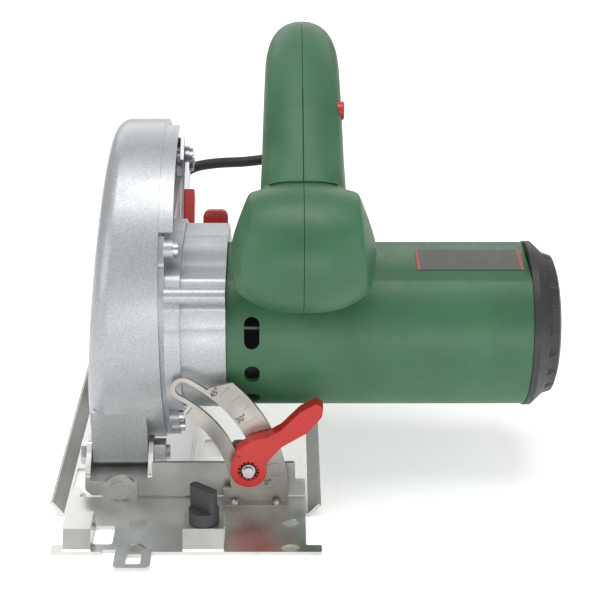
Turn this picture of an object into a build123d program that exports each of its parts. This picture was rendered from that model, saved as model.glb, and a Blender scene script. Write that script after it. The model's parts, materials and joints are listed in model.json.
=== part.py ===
from build123d import *
import os
from math import atan2, cos, degrees, hypot, pi, radians, sin, sqrt, tan

# Circular saw for a 165 mm blade, in millimetres. +X points to the motor, +Y to the rear, +Z up.
# The origin is the centre of the sole's underside. The saw stands in its raised, zero-depth
# position: the saw body is swung up about the front bolt, and the blade clears the sole.

# ---- driving dimensions ----------------------------------------------------------------------
SHEET = 2.0                      # sole plate and bracket sheet
SOLE_HALF_W, SOLE_HALF_L = 69.0, 136.0
SOLE_LEFT, SOLE_RIGHT = -66.0, 61.0          # roots of the turned-up side flanges
SLOT_X = (-60.5, -3.0)           # blade opening in the sole
SLOT_Y = (-80.0, 128.0)
GUIDE_BAR_Y = (-129.5, -111.0)   # channel of the parallel guide bar
BEVEL_X, BEVEL_Z = -38.5, 7.5    # bevel axis, along Y
SWING = 41.0                     # degrees from full depth to this raised position
PIVOT_Y, PIVOT_Z = -62.0, 18.5   # depth bolt, along X
BLADE_R = 82.5
BLADE_X = -27.0
GUARD_R = 91.3
GUARD_WALL = 2.8
GUARD_RIGHT = -15.0              # seam between the guard and the gear housing's back wall
LOWER_R = 87.0
LG_X = (-39.5, -19.8)            # lower guard
MOTOR_R, MOTOR_WALL = 44.0, 3.0
CASE_X = (-15.0, 19.5)           # gear housing
MOTOR_X = (19.7, 179.0)
HANDLE_X = 59.5                  # parting plane of the two handle shells
HANDLE_HALF_W = 22.0
ARC_R = 190.0                    # depth clamp, from the depth bolt
QUADRANT_Y = (-88.2, -86.2)
CLAMP_R, CLAMP_START = 72.0, 15.0            # bevel clamp bolt: radius and angle from the bevel axis
CORD_R = 3.5

ARBOR_FULL = (39.0, 27.5)        # blade axis at full depth (Y, Z)
MOTOR_FULL = (0.2, 52.8)         # motor axis at full depth


# ---- helpers ---------------------------------------------------------------------------------
def raised(y, z):
    """Where a point of the saw body at full depth stands in the raised position."""
    a, dy, dz = radians(SWING), y - PIVOT_Y, z - PIVOT_Z
    return PIVOT_Y + dy * cos(a) - dz * sin(a), PIVOT_Z + dy * sin(a) + dz * cos(a)


def swing_up(shape):
    """Turns a piece drawn at full depth into the raised position."""
    return Pos(0, PIVOT_Y, PIVOT_Z) * Rot(SWING, 0, 0) * Pos(0, -PIVOT_Y, -PIVOT_Z) * shape


def block(x0, x1, y0, y1, z0, z1):
    return Pos((x0 + x1) / 2, (y0 + y1) / 2, (z0 + z1) / 2) * Box(x1 - x0, y1 - y0, z1 - z0)


def slab_x(sketch, x0, x1):
    """A sketch drawn in (Y, Z), as thick as x0 to x1."""
    return extrude(Plane.YZ.offset(x0) * sketch, x1 - x0)


def slab_y(sketch, y0, y1):
    """A sketch drawn in (X, Z), as thick as y0 to y1."""
    return extrude(Plane.XZ.offset(-y1) * sketch, y1 - y0)


def slab_z(sketch, z0, z1):
    return extrude(Plane.XY.offset(z0) * sketch, z1 - z0)


def outline(points, radius=0.0):
    face = make_face(Polyline(*points, close=True))
    return fillet(face.vertices(), radius) if radius else face


def disc(r, at):
    return Pos(at[0], at[1]) * Circle(r)


def rod_x(r, x0, x1, at):
    return slab_x(disc(r, at), x0, x1)


def tube_x(r_out, r_in, x0, x1, at):
    return slab_x(disc(r_out, at) - disc(r_in, at), x0, x1)


def rod_y(r, y0, y1, x, z):
    return slab_y(disc(r, (x, z)), y0, y1)


def turned_x(points, at):
    """A profile of (X, radius) points turned about an X axis through at."""
    face = Plane.XY * make_face(Polyline(*points, close=True))
    return Pos(0, at[0], at[1]) * revolve(face, Axis.X)


def hexagon_x(across, x0, x1, at, turn=0.0):
    return slab_x(Pos(*at) * Rot(0, 0, turn) * RegularPolygon(across / 2, 6, major_radius=False), x0, x1)


def sector(at, r_in, r_out, start, end):
    """An annular sector, as a sketch, from start to end degrees."""
    def on(r, t):
        return at[0] + r * cos(radians(t)), at[1] + r * sin(radians(t))
    mid = (start + end) / 2
    return make_face(Wire([
        ThreePointArc(on(r_out, start), on(r_out, mid), on(r_out, end)),
        Line(on(r_out, end), on(r_in, end)),
        ThreePointArc(on(r_in, end), on(r_in, mid), on(r_in, start)),
        Line(on(r_in, start), on(r_out, start)),
    ]))


def curved_slot(at, r, width, start, end):
    """A slot of round ends along an arc."""
    ends = [(at[0] + r * cos(radians(t)), at[1] + r * sin(radians(t))) for t in (start, end)]
    body = sector(at, r - width / 2, r + width / 2, start, end)
    return body + disc(width / 2, ends[0]) + disc(width / 2, ends[1])


def gear_face(at, teeth, module, tooth_at, thick=0.42):
    """A spur gear's face: straight-sided teeth, one of them centred at tooth_at degrees."""
    r = teeth * module / 2
    root, tip, pitch = r - 1.2 * module, r + 0.8 * module, 2 * pi / teeth
    points = []
    for i in range(teeth):
        centre = radians(tooth_at) + i * pitch
        for radius, share in ((root, -thick - 0.1), (tip, -0.2), (tip, 0.2), (root, thick + 0.1)):
            a = centre + share * pitch / 2
            points.append((at[0] + radius * cos(a), at[1] + radius * sin(a)))
    return outline(points)


def toward(a, b):
    return degrees(atan2(b[1] - a[1], b[0] - a[0]))


def save(name, *shapes):
    """Writes one node; several shapes are like pieces that share it."""
    solids = [s for shape in shapes for s in shape.solids()]
    export_step(solids[0] if len(solids) == 1 else Compound(solids), f"parts/{name}.step")


os.makedirs("parts", exist_ok=True)

ARBOR = raised(*ARBOR_FULL)
MOTOR = raised(*MOTOR_FULL)
PIVOT = (PIVOT_Y, PIVOT_Z)


# ---- sole plate ------------------------------------------------------------------------------
def strap(x0, x1, top):
    """A strap lanced out of the sole, over the channel of the guide bar."""
    y0, y1 = GUIDE_BAR_Y[0] - 4.0, GUIDE_BAR_Y[1] + 3.5
    side = [(y0, 0), (y0, SHEET), (y0 + 5, top), (y1 - 4, top), (y1, SHEET), (y1, 0),
            (y1 - 2.2, 0), (y1 - 5.6, top - SHEET), (y0 + 6.6, top - SHEET), (y0 + 2.2, 0)]
    return slab_x(outline(side), x0, x1)


def lug(x, y):
    """An eye-shaped lug pressed up beside the guide bar."""
    half = 5.0
    foot = SHEET - 0.5
    eye = make_face(Wire([ThreePointArc((x - half, foot), (x, SHEET + 2.4), (x + half, foot)),
                          Line((x + half, foot), (x - half, foot))]))
    return slab_y(eye, y - 0.9, y + 0.9)


STRAP_LEFT, STRAP_RIGHT = (-63.0, -49.0), (-2.0, 19.0)
STRAP_TOP = 11.0
KNOB_XY = (8.6, -120.5)
KNOB_R = 3.0

flat = [(SOLE_LEFT, SOLE_HALF_L), (SOLE_RIGHT, SOLE_HALF_L), (SOLE_RIGHT, GUIDE_BAR_Y[0]),
        (SOLE_HALF_W, GUIDE_BAR_Y[0]), (SOLE_HALF_W, -SOLE_HALF_L), (-SOLE_HALF_W, -SOLE_HALF_L),
        (-SOLE_HALF_W, GUIDE_BAR_Y[0]), (-63.5, GUIDE_BAR_Y[0]), (-63.5, GUIDE_BAR_Y[1]),
        (SOLE_LEFT, GUIDE_BAR_Y[1])]
sole = slab_z(outline(flat, 1.0), 0, SHEET)
sole -= slab_z(Pos(sum(SLOT_X) / 2, sum(SLOT_Y) / 2) * RectangleRounded(
    SLOT_X[1] - SLOT_X[0], SLOT_Y[1] - SLOT_Y[0], 6.0), -1, 3)
sole -= block(-65.6, -55, -73, -51, -1, 3)                     # room for the depth bolt's head
sole -= slab_z(Pos(-43.5, -120.25) * RectangleRounded(10.5, 17.5, 2.0), -1, 3)
sole -= slab_z(Pos(sum(STRAP_LEFT) / 2, -120.25) * Rectangle(14, 16), -1, 3)
sole -= slab_z(Pos(sum(STRAP_RIGHT) / 2, -120.25) * Rectangle(21, 16), -1, 3)
sole -= slab_z(Pos(-30.5, -SOLE_HALF_L) * Rectangle(25, 4), -1, 3)   # sight notch at the cut line
sole -= slab_z(outline([(4, -38), (15, -38), (15, -27), (10, -18), (4, -18)], 1.5), -1, 3)
sole += strap(*STRAP_LEFT, STRAP_TOP)
sole += strap(*STRAP_RIGHT, STRAP_TOP)
sight_loop = slab_z(Pos(-26.75, -142.0) * RectangleRounded(18.5, 17, 3.0), 0, SHEET)
sole += sight_loop - block(-30, -22.5, -147, -138.2, -1, 3)
left_flange = [(SOLE_LEFT, 0), (-67.8, 0), (-74.0, 7.6), (-72.4, 8.9), (-66.9, SHEET),
               (SOLE_LEFT, SHEET)]
right_flange = [(SOLE_RIGHT, 0), (63.2, 0), (69.4, 6.8), (67.9, 7.9), (62.4, SHEET),
                (SOLE_RIGHT, SHEET)]
for side in (left_flange, right_flange):
    sole += slab_y(outline(side), -99, SOLE_HALF_L)
sole += block(-3, -1, -77, -22, 0, 6.2)                        # turned-up edge of the opening
tab = Pos(BEVEL_X, 0) * Rectangle(19, 12, align=(Align.CENTER, Align.MIN))
tab += disc(9.5, (BEVEL_X, 6.5)) & (Pos(BEVEL_X, 0) * Rectangle(19, 30, align=(Align.CENTER, Align.MIN)))
FRONT_TAB_Y, REAR_TAB_Y = (-84.2, -82.2), (131.0, 133.0)
for ys in (FRONT_TAB_Y, REAR_TAB_Y):
    sole += slab_y(tab, *ys)
sole -= block(-60.5, -30, -82.2, -79, -1, 3)                   # the tilting bracket dips in here
sole -= block(-54, -28, REAR_TAB_Y[1] + 0.1, 140, -1, 3)
for x, y in ((-26.6, -109.0), (-25.6, -132.5), (52.8, -108.5), (52.8, -132.0)):
    sole += lug(x, y)
sole -= Pos(KNOB_XY[0], KNOB_XY[1], 0) * Cylinder(KNOB_R, 40)
sole -= rod_y(3.02, -90, -80, BEVEL_X, BEVEL_Z)
sole -= rod_y(3.02, 125, 140, BEVEL_X, BEVEL_Z)

# Bevel pivot rivets: headed pins held by the sole's front and rear tabs.
front_rivet = rod_y(3.0, FRONT_TAB_Y[0] - 0.1, -79.6, BEVEL_X, BEVEL_Z) + rod_y(
    5.5, FRONT_TAB_Y[0] - 1.6, FRONT_TAB_Y[0], BEVEL_X, BEVEL_Z)
rear_rivet = rod_y(3.0, REAR_TAB_Y[0] - 0.2, 135.4, BEVEL_X, BEVEL_Z) + rod_y(
    5.5, REAR_TAB_Y[0] - 1.6, REAR_TAB_Y[0], BEVEL_X, BEVEL_Z)
save("bevel_pivot_rivets", front_rivet, rear_rivet)

# ---- bevel quadrant: an upright plate with a curved slot and an embossed degree scale -----------
FOOT_Y = -90.9                   # foot rivets
BEVEL_AT = (BEVEL_X, BEVEL_Z)
PLATE_END, SLOT_END = 52.0, 60.2
quadrant = sector(BEVEL_AT, 60.0, 90.5, 2.0, PLATE_END)
quadrant += curved_slot(BEVEL_AT, CLAMP_R, 13.0, CLAMP_START, SLOT_END)      # tongue round the slot's end
quadrant += Pos(34.5, 6.5) * Rectangle(34, 9)
corner = Rot(0, 0, PLATE_END) * outline([(79, 1), (92, 1), (92, -9)])       # clipped outer corner
quadrant -= Pos(*BEVEL_AT) * corner
quadrant -= curved_slot(BEVEL_AT, CLAMP_R, 8.2, CLAMP_START - 1.0, SLOT_END)
plate = slab_y(quadrant, *QUADRANT_Y)
plate += block(18, 51, FOOT_Y - 2.6, -86.2, SHEET, SHEET + 1.6)       # foot flange on the sole
for mark in range(0, 50, 5):             # embossed degree marks, longer at every fifteen
    inner = 79.5 if mark % 15 == 0 else 82.0
    bar = block(inner, 87.0, QUADRANT_Y[0] - 0.3, QUADRANT_Y[0] + 0.1, -0.3, 0.3)
    plate += Pos(BEVEL_X, 0, BEVEL_Z) * Rot(0, -(2.6 + 0.98 * mark), 0) * bar
for x in (23.5, 45.5):
    plate -= Pos(x, FOOT_Y, 0) * Cylinder(1.5, 20)
save("bevel_quadrant", plate)
foot_rivets = []
for x in (23.5, 45.5):
    sole -= Pos(x, FOOT_Y, 0) * Cylinder(1.5, 20)
    dome = Pos(x, FOOT_Y, 0.4) * Cylinder(1.48, 4.2, align=(Align.CENTER, Align.CENTER, Align.MIN))
    dome += Pos(x, FOOT_Y, SHEET + 1.6) * (Sphere(2.2) & Pos(0, 0, 1.5) * Box(6, 6, 3))
    foot_rivets.append(dome)
save("sole_plate", sole)
save("quadrant_rivets", *foot_rivets)

# ---- guide bar knob: black wing knob moulded on a threaded stud ---------------------------------
knob = Pos(*KNOB_XY, STRAP_TOP + 0.3) * Cylinder(7.75, 7, align=(Align.CENTER, Align.CENTER, Align.MIN))
wing = Pos(*KNOB_XY, 0) * Rot(0, 0, -38) * block(-8.0, 8.0, -2.6, 2.6, STRAP_TOP + 6, STRAP_TOP + 19.5)
knob += fillet(wing.edges().filter_by(Axis.Z), 2.0)
save("guide_knob", knob)
stud = slab_z(disc(KNOB_R - 0.05, KNOB_XY), 8.8, STRAP_TOP + 0.3)
save("guide_knob_stud", stud)

# ---- bevel frame: front bracket with the yoke of the depth bolt, rear bracket with the arc ------
YOKE_X = (-57.4, -21.1)
EAR = 2.7
FLOOR_Z = (9.2, 11.7)
PLATE_Y = (-82.0, -80.0)
front = [(-54.0, 2.8), (0, 2.8), (61.0, 2.8), (61.0, 12.2), (55.6, 12.2), (55.6, 23.0), (-21.1, 23.0),
         (-21.1, 11.7), (-57.4, 11.7), (-57.4, 6.2)]
bracket = slab_y(outline(front, 1.2), *PLATE_Y)
bracket += block(*YOKE_X, -80.2, -52, *FLOOR_Z)
ear = outline([(-80.2, 9.2), (-80.2, 14), (-70.5, 22.5), (-66, 27.0), (-58, 27.0), (-53.5, 22),
               (-52, 9.2)], 2.5)
for x0 in (YOKE_X[0], YOKE_X[1] - EAR):
    bracket += slab_x(ear, x0, x0 + EAR)
CLAMP = (BEVEL_X + CLAMP_R * cos(radians(CLAMP_START)), BEVEL_Z + CLAMP_R * sin(radians(CLAMP_START)))
clamp_ear = outline([(CLAMP[0] - 11, 20), (CLAMP[0] + 11, 20), (CLAMP[0] + 9, 36), (CLAMP[0] - 9, 36)], 3.0)
bracket += slab_y(clamp_ear, *PLATE_Y)
bracket -= rod_x(4.05, -70, -10, PIVOT)
bracket -= rod_y(3.05, -90, -70, BEVEL_X, BEVEL_Z)
bracket -= rod_y(3.02, -90, -70, *CLAMP)
save("front_bracket", bracket)

bolt = rod_x(4.0, -57.6, -12.6, PIVOT) + hexagon_x(12, -61.0, -57.5, PIVOT)
save("depth_pivot_bolt", bolt)
nut = hexagon_x(13, -21.0, -14.8, PIVOT) - rod_x(4.0, -30, -10, PIVOT)
save("depth_pivot_nut", nut)

# The clamp bolt of the bevel lever is pressed into the bracket and passes the quadrant's slot.
clamp_bolt = rod_y(3.0, -98.6, -79.0, *CLAMP) + rod_y(7.0, -79.9, -77.8, *CLAMP)
save("bevel_clamp_bolt", clamp_bolt)
spacer = rod_y(8.0, -86.0, -82.05, *CLAMP) - rod_y(3.05, -100, -70, *CLAMP)
save("bevel_clamp_spacer", spacer)

ARC_X = (-12.4, -10.2)
REAR_Y = (133.2, 135.2)
rear_side = [(-46, 3.2), (-10.2, 3.2), (-10.2, 24), (-16, 24), (-30, 16), (-43, 16), (-46, 12)]
rear = slab_y(outline(rear_side, 1.5), *REAR_Y)
rear -= rod_y(3.05, 125, 140, BEVEL_X, BEVEL_Z)
ARC_IN, ARC_OUT = ARC_R - 8.0, ARC_R + 8.6
arc = sector(PIVOT, ARC_IN, ARC_OUT, -3.2, 43.0)
arc -= curved_slot(PIVOT, ARC_R, 6.4, -2.4, 39.3)
rear += slab_x(arc, *ARC_X)
rear += slab_x(sector(PIVOT, ARC_OUT - 1.6, ARC_OUT, 4.0, 43.0), ARC_X[0] - 7.0, ARC_X[0] + 0.1)
rear += block(ARC_X[0], ARC_X[1], 128.5, REAR_Y[1], 3.2, 24)
rear -= slab_x(curved_slot(PIVOT, ARC_R, 6.4, -2.4, 39.3), -14, -8)
save("depth_arc_bracket", rear)


# ---- saw body: upper guard ----------------------------------------------------------------------
def guard_volume(r, left, edge, right):
    """A disc about the blade axis whose left face leans inward going up, with a rounded rim."""
    body = rod_x(r, -64, right, ARBOR)
    beyond = Box(60, 400, 600, align=(Align.MAX, Align.CENTER, Align.CENTER))
    body -= Pos(left, 0, 40) * Rot(0, 5.2, 0) * beyond
    rim = body.edges().group_by(Axis.X)[0]
    return fillet(rim, edge)


CROWN, CROWN_IN, CROWN_RIGHT = (88.5, 142.0), 89.2, -7.5      # brow over the gear housing's wall
guard = guard_volume(GUARD_R, -56.6, 10.0, GUARD_RIGHT)
guard -= guard_volume(GUARD_R - GUARD_WALL, -56.6 + GUARD_WALL, 7.5, GUARD_RIGHT + 5)
guard += tube_x(GUARD_R - 0.5, 70.0, GUARD_RIGHT - 2.6, GUARD_RIGHT, ARBOR)      # inward lip, motor side
guard -= swing_up(block(-80, 0, -80, 180, -80, 14.0))
lug_side = outline([(PIVOT_Y - 6.2, PIVOT_Z), (PIVOT_Y - 8.4, 47), (-50, 62), (-30, 40),
                    (PIVOT_Y + 6.2, PIVOT_Z)])
front_lug = slab_x(lug_side + disc(6.2, PIVOT), -54.3, -24.2)
front_lug -= rod_x(GUARD_R - GUARD_WALL, -80, 0, ARBOR)
front_lug -= swing_up(block(-80, 0, -30, 180, -80, 14.0))
guard += front_lug
DEPTH_CLAMP = raised(PIVOT_Y + ARC_R * cos(radians(-2.0)), PIVOT_Z + ARC_R * sin(radians(-2.0)))
clamp_lug = disc(5.0, DEPTH_CLAMP)
clamp_arm = outline([(121, 13), (126, 7.4), (132.2, 12), (129.4, 24), (121, 24)])
guard += slab_x(clamp_lug, -19.6, -13.0) + swing_up(slab_x(clamp_arm, -19.6, -16.2))
guard += slab_x(sector(ARBOR, CROWN_IN, GUARD_R - 0.3, *CROWN), GUARD_RIGHT - 2.0, CROWN_RIGHT)
guard -= rod_x(LOWER_R + 0.6, LG_X[0] - 1.0, LG_X[1] + 0.1, ARBOR)
wrench_way = disc(27.0, ARBOR_FULL) + Pos(ARBOR_FULL[0], ARBOR_FULL[1] - 20) * Rectangle(54, 40)
guard -= swing_up(slab_x(wrench_way, -80, -45))
guard -= rod_x(4.03, -70, -10, PIVOT)
guard -= rod_x(3.0, -25, -10, DEPTH_CLAMP)
GUARD_SCREWS = [(ARBOR[0] + 85.6 * cos(radians(t)), ARBOR[1] + 85.6 * sin(radians(t)))
                for t in (147, 217, 227)]
for at in GUARD_SCREWS:
    guard += rod_x(4.2, LG_X[1] + 0.3, GUARD_RIGHT, at)
    guard -= rod_x(2.0, -30, -10, at)
save("upper_guard", guard)
save("depth_clamp_bolt", rod_x(3.0, -19.0, -4.6, DEPTH_CLAMP))

# ---- gear housing: cast back wall with the gear case ---------------------------------------------
# The case in the raised position: rounded front corner, sloping top, round about both shafts.
case_top = outline([(-79.5, 70), (-79.5, 112), (-69, 124), (-24, 131), (-2, 130), (21, 116), (20, 80),
                    (-40, 60)], 5.0)


def case_profile(inset):
    """The case's side view, inset by a wall thickness."""
    r_motor, r_arbor = 45.5 - inset, 24.9 - inset
    between = toward(MOTOR, ARBOR)
    gap = hypot(ARBOR[0] - MOTOR[0], ARBOR[1] - MOTOR[1])
    spread = degrees(atan2(sqrt(gap ** 2 - (r_motor - r_arbor) ** 2), r_motor - r_arbor))
    tangents = []
    for sign in (1, -1):
        a = radians(between + sign * spread)
        tangents.append([(MOTOR[0] + r_motor * cos(a), MOTOR[1] + r_motor * sin(a)),
                         (ARBOR[0] + r_arbor * cos(a), ARBOR[1] + r_arbor * sin(a))])
    quad = outline([tangents[0][0], tangents[0][1], tangents[1][1], tangents[1][0]])
    shape = quad + disc(r_motor, MOTOR) + disc(r_arbor, ARBOR)
    return shape + (offset(case_top, -inset) if inset else case_top)


GEAR_CLEAR = (-6.5, 16.0)
CASE_RIB = (-76.0, 117.5)        # round rib across the front of the case
wall_disc = disc(CROWN_IN - 0.2, ARBOR)
screw_ear = disc(7.0, GUARD_SCREWS[0]) + Pos(GUARD_SCREWS[0][0], 131.0) * Rectangle(14, 16)
wall_disc &= Pos(0, 31.0) * Rectangle(400, 200) + screw_ear      # ends below the guard's crown
wall_disc &= disc(178.0, PIVOT)                                  # clears the depth arc
back_wall = slab_x(wall_disc, -15.0, -12.0) - swing_up(block(-40, 40, -200, 300, -200, 9.0))
housing = back_wall + slab_x(case_profile(0), -12.2, CASE_X[1])
flange = slab_x(case_profile(-2.4), -12.2, -4.0) - swing_up(block(-40, 40, -200, 300, -200, 8.0))
housing += flange & rod_x(GUARD_R + 3.0, -20, 20, ARBOR)
housing += rod_x(4.6, -12.0, CASE_X[1], CASE_RIB)
housing -= slab_x(case_profile(2.6), GEAR_CLEAR[0], CASE_X[1] + 1)
housing += tube_x(14.2, 11.02, -12.0, GEAR_CLEAR[0] + 0.1, ARBOR)
housing -= rod_x(11.02, -12.1, GEAR_CLEAR[0] + 1, ARBOR)
housing -= rod_x(9.3, -20, 0, ARBOR)
boss = rod_x(19.2, -18.6, -12.0, ARBOR) - rod_x(9.3, -20, 0, ARBOR)
housing += boss
for at in GUARD_SCREWS:
    housing -= rod_x(4.2, -7.2, 0, at)
    housing += rod_x(5.0, -12.3, -7.2, at)
    housing -= rod_x(2.1, -20, 0, at)
LOCK_X = 11.0
LOCK_OUT, LOCK_LEAN = 33.6, 11.3         # distance from the blade axis, degrees rearward of upright
LOCK_TRAVEL = 3.0
lock_face = Pos(LOCK_X, *ARBOR) * Rot(-LOCK_LEAN, 0, 0) * Pos(0, 0, LOCK_OUT)
housing -= lock_face * Box(14.4, 6.6, 30)
guard_screw = [rod_x(2.0, LG_X[1] + 0.5, -7.2, at) + rod_x(3.6, -7.2, -4.8, at) - hexagon_x(2.5, -6.2, -4, at)
               for at in GUARD_SCREWS]
save("guard_screws", *guard_screw)

# ---- gear train: armature pinion, intermediate shaft, spindle gear ----------------------------------
M1, M2 = 1.25, 1.5
Z_PINION, Z_INTER, Z_INTER_PINION, Z_SPINDLE = 8, 26, 12, 28
a1, a2 = M1 * (Z_PINION + Z_INTER) / 2, M2 * (Z_INTER_PINION + Z_SPINDLE) / 2
gap = hypot(ARBOR[0] - MOTOR[0], ARBOR[1] - MOTOR[1])
along = (a1 ** 2 - a2 ** 2 + gap ** 2) / (2 * gap)
across = sqrt(a1 ** 2 - along ** 2)
unit = ((ARBOR[0] - MOTOR[0]) / gap, (ARBOR[1] - MOTOR[1]) / gap)
INTER = (MOTOR[0] + along * unit[0] - across * unit[1], MOTOR[1] + along * unit[1] + across * unit[0])
STAGE_1, STAGE_2 = (4.0, 11.0), (-5.5, 2.5)
first = toward(MOTOR, INTER)
second = toward(INTER, ARBOR)

spindle_gear = slab_x(gear_face(ARBOR, Z_SPINDLE, M2, second + 180 + 180 / Z_SPINDLE), *STAGE_2)
spindle_gear -= rod_x(7.0, -20, 20, ARBOR)
save("spindle_gear", spindle_gear)
steps = [(-35.6, 6.0), (-23.0, 8.5), (-12.4, 6.0), (-5.8, 7.0), (3.2, 9.5), (15.2, 4.0)]
spindle = Part()
for (x, r), end in zip(steps, [step[0] for step in steps[1:]] + [18.6]):
    spindle += rod_x(r, x, end, ARBOR)
spindle -= rod_x(3.02, -40, -20, ARBOR)
for i in range(4):                       # holes that the lock pin enters
    spindle -= Pos(LOCK_X, *ARBOR) * Rot(90 * i - LOCK_LEAN, 0, 0) * Pos(0, 0, 8) * Cylinder(2.6, 5)
save("spindle", spindle)
inter_gear = slab_x(gear_face(INTER, Z_INTER, M1, first + 180 + 180 / Z_INTER), *STAGE_1)
inter_gear -= rod_x(5.0, -20, 20, INTER)
save("intermediate_gear", inter_gear)
inter_shaft = rod_x(3.5, -9.0, 18.8, INTER) + rod_x(5.0, 2.4, 11.2, INTER)
inter_shaft += slab_x(gear_face(INTER, Z_INTER_PINION, M2, second), *STAGE_2)
save("intermediate_shaft", inter_shaft)

# Bearing plate: closes the gear case towards the motor and carries three bearings.
plate_x = (16.2, 19.4)
bearing_plate = slab_x(case_profile(2.8), *plate_x) - lock_face * Box(14.4, 6.6, 30)
bearing_plate += tube_x(7.5, 4.0, 15.4, 16.3, ARBOR)
bearing_plate += tube_x(13.5, 11.0, 12.6, 16.3, MOTOR)
for r, at in ((4.05, ARBOR), (3.55, INTER), (11.0, MOTOR)):
    bearing_plate -= rod_x(r, 10, 25, at)
save("bearing_plate", bearing_plate)
inter_bush = tube_x(6.0, 3.53, -9.0, GEAR_CLEAR[0] - 0.1, INTER)
housing -= rod_x(6.02, -9.2, GEAR_CLEAR[0] + 1, INTER)
housing -= rod_x(3.6, -9.3, 0, INTER)
save("gear_housing", housing)
save("intermediate_bush", inter_bush)


def ball_bearing(r_out, r_in, x0, x1, at, balls=8):
    """Two rings and their balls, as like solids of one node."""
    mid, ball_r = (r_out + r_in) / 2, (r_out - r_in) * 0.27
    race = Pos((x0 + x1) / 2, mid) * Circle(ball_r + 0.1)
    groove = Pos(0, at[0], at[1]) * revolve(Plane.XY * race, Axis.X)
    ring_out = tube_x(r_out, mid + ball_r * 0.55, x0, x1, at) - groove
    ring_in = tube_x(mid - ball_r * 0.55, r_in, x0, x1, at) - groove
    solids = [ring_out, ring_in]
    for i in range(balls):
        t = 2 * pi * i / balls
        solids.append(Pos((x0 + x1) / 2, at[0] + mid * cos(t), at[1] + mid * sin(t)) * Sphere(ball_r))
    return solids


save("spindle_bearing", *ball_bearing(11.0, 6.03, -12.0, -6.6, ARBOR))
save("armature_front_bearing", *ball_bearing(11.0, 4.03, 12.6, 19.4, MOTOR))
save("armature_rear_bearing", *ball_bearing(10.0, 4.03, 160.0, 167.0, MOTOR))

# ---- blade and its fixing -------------------------------------------------------------------------
TEETH = 24
TOOTH = [(7.5, 0.00), (7.0, 0.10), (1.2, 0.15), (0.0, 0.16), (1.4, 0.52), (3.4, 0.62), (6.8, 0.80)]
blade_points = []
for i in range(TEETH):
    for depth, lead in TOOTH:
        t = (i + lead) * 2 * pi / TEETH
        blade_points.append((ARBOR[0] + (BLADE_R - depth) * cos(t), ARBOR[1] + (BLADE_R - depth) * sin(t)))
blade = slab_x(outline(blade_points), BLADE_X - 0.8, BLADE_X + 0.8)
blade -= rod_x(6.0, -40, 0, ARBOR)
for i in range(4):
    t = radians(45 + 90 * i)
    blade -= slab_x(Pos(ARBOR[0] + 74 * cos(t), ARBOR[1] + 74 * sin(t)) * Rot(0, 0, degrees(t))
                    * Rectangle(13, 1.2), -40, 0)
save("saw_blade", blade)
save("inner_flange", tube_x(17.5, 6.02, BLADE_X + 0.8, -23.2, ARBOR))
save("outer_flange", tube_x(17.5, 6.02, -31.8, BLADE_X - 0.8, ARBOR))
blade_bolt = rod_x(3.0, -38.5, -24.5, ARBOR) + rod_x(10.5, -38.2, -35.7, ARBOR)
blade_bolt += hexagon_x(13, -43.0, -38.0, ARBOR)
save("blade_bolt", blade_bolt)

# ---- lower guard: swinging sector with a hub ring -------------------------------------------------
START, END = 192.0 + SWING, 352.0 + SWING
rim = slab_x(sector(ARBOR, LOWER_R - 1.8, LOWER_R, START, END), *LG_X)
side = slab_x(sector(ARBOR, 20.2, LOWER_R, START, END), -21.4, LG_X[1])
lip = slab_x(sector(ARBOR, 72.0, LOWER_R, START, END), LG_X[0], LG_X[0] + 1.6)
hub = tube_x(25.5, 19.3, -22.6, -18.4, ARBOR)
lower = rim + side + lip + hub
save("lower_guard", lower)
save("retract_lever", slab_x(sector(ARBOR, 73.0, 84.0, START + 7, START + 11), -57.0, LG_X[0]))
save("guard_spring", tube_x(23.0, 19.6, -18.0, -16.0, ARBOR))

# ---- motor --------------------------------------------------------------------------------------
FLAT = (69.0, 125.0)


def motor_profile(r, x0, x1):
    body = rod_x(r, x0, x1, MOTOR)
    mid, half = radians(sum(FLAT) / 2), radians((FLAT[1] - FLAT[0]) / 2)
    depth = r - (MOTOR_R * cos(half) - (MOTOR_R - r))
    beyond = Pos(0, r - depth + 25, 0) * Box(x1 - x0 + 2, 50, 120)
    return body - Pos((x0 + x1) / 2, *MOTOR) * Rot(degrees(mid), 0, 0) * beyond


motor = motor_profile(MOTOR_R, *MOTOR_X) - motor_profile(MOTOR_R - MOTOR_WALL, 18, 172)
motor -= rod_x(34.0, 171, 190, MOTOR)
for t in (0, 180, 270):                  # ribs that hold the stator
    motor += slab_x(Pos(*MOTOR) * Rot(0, 0, t) * Pos(38.4, 0) * Rectangle(5.9, 10), 58, 108)
web = slab_x(disc(MOTOR_R - 2, MOTOR), 157, 160) - rod_x(5.5, 150, 170, MOTOR)
web += tube_x(12.5, 10.02, 159.9, 168, MOTOR)
for t in range(0, 360, 45):
    web -= rod_x(8.0, 150, 162, (MOTOR[0] + 27 * cos(radians(t + 20)), MOTOR[1] + 27 * sin(radians(t + 20))))
web = web & motor_profile(MOTOR_R - 0.5, 150, 175)
motor += web
for t, width in ((163, 17), (194, 11), (222, 11), (318, 11), (345, 17), (15, 17)):
    vent_plane = Plane(origin=(0, 0, 0), x_dir=(0, 0, 1), z_dir=(0, 1, 0))
    vent = extrude(vent_plane * SlotOverall(width, 8.0), 8, both=True)
    motor -= Pos(33, *MOTOR) * Rot(t, 0, 0) * Pos(0, MOTOR_R, 0) * vent
save("motor_housing", motor)

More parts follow.
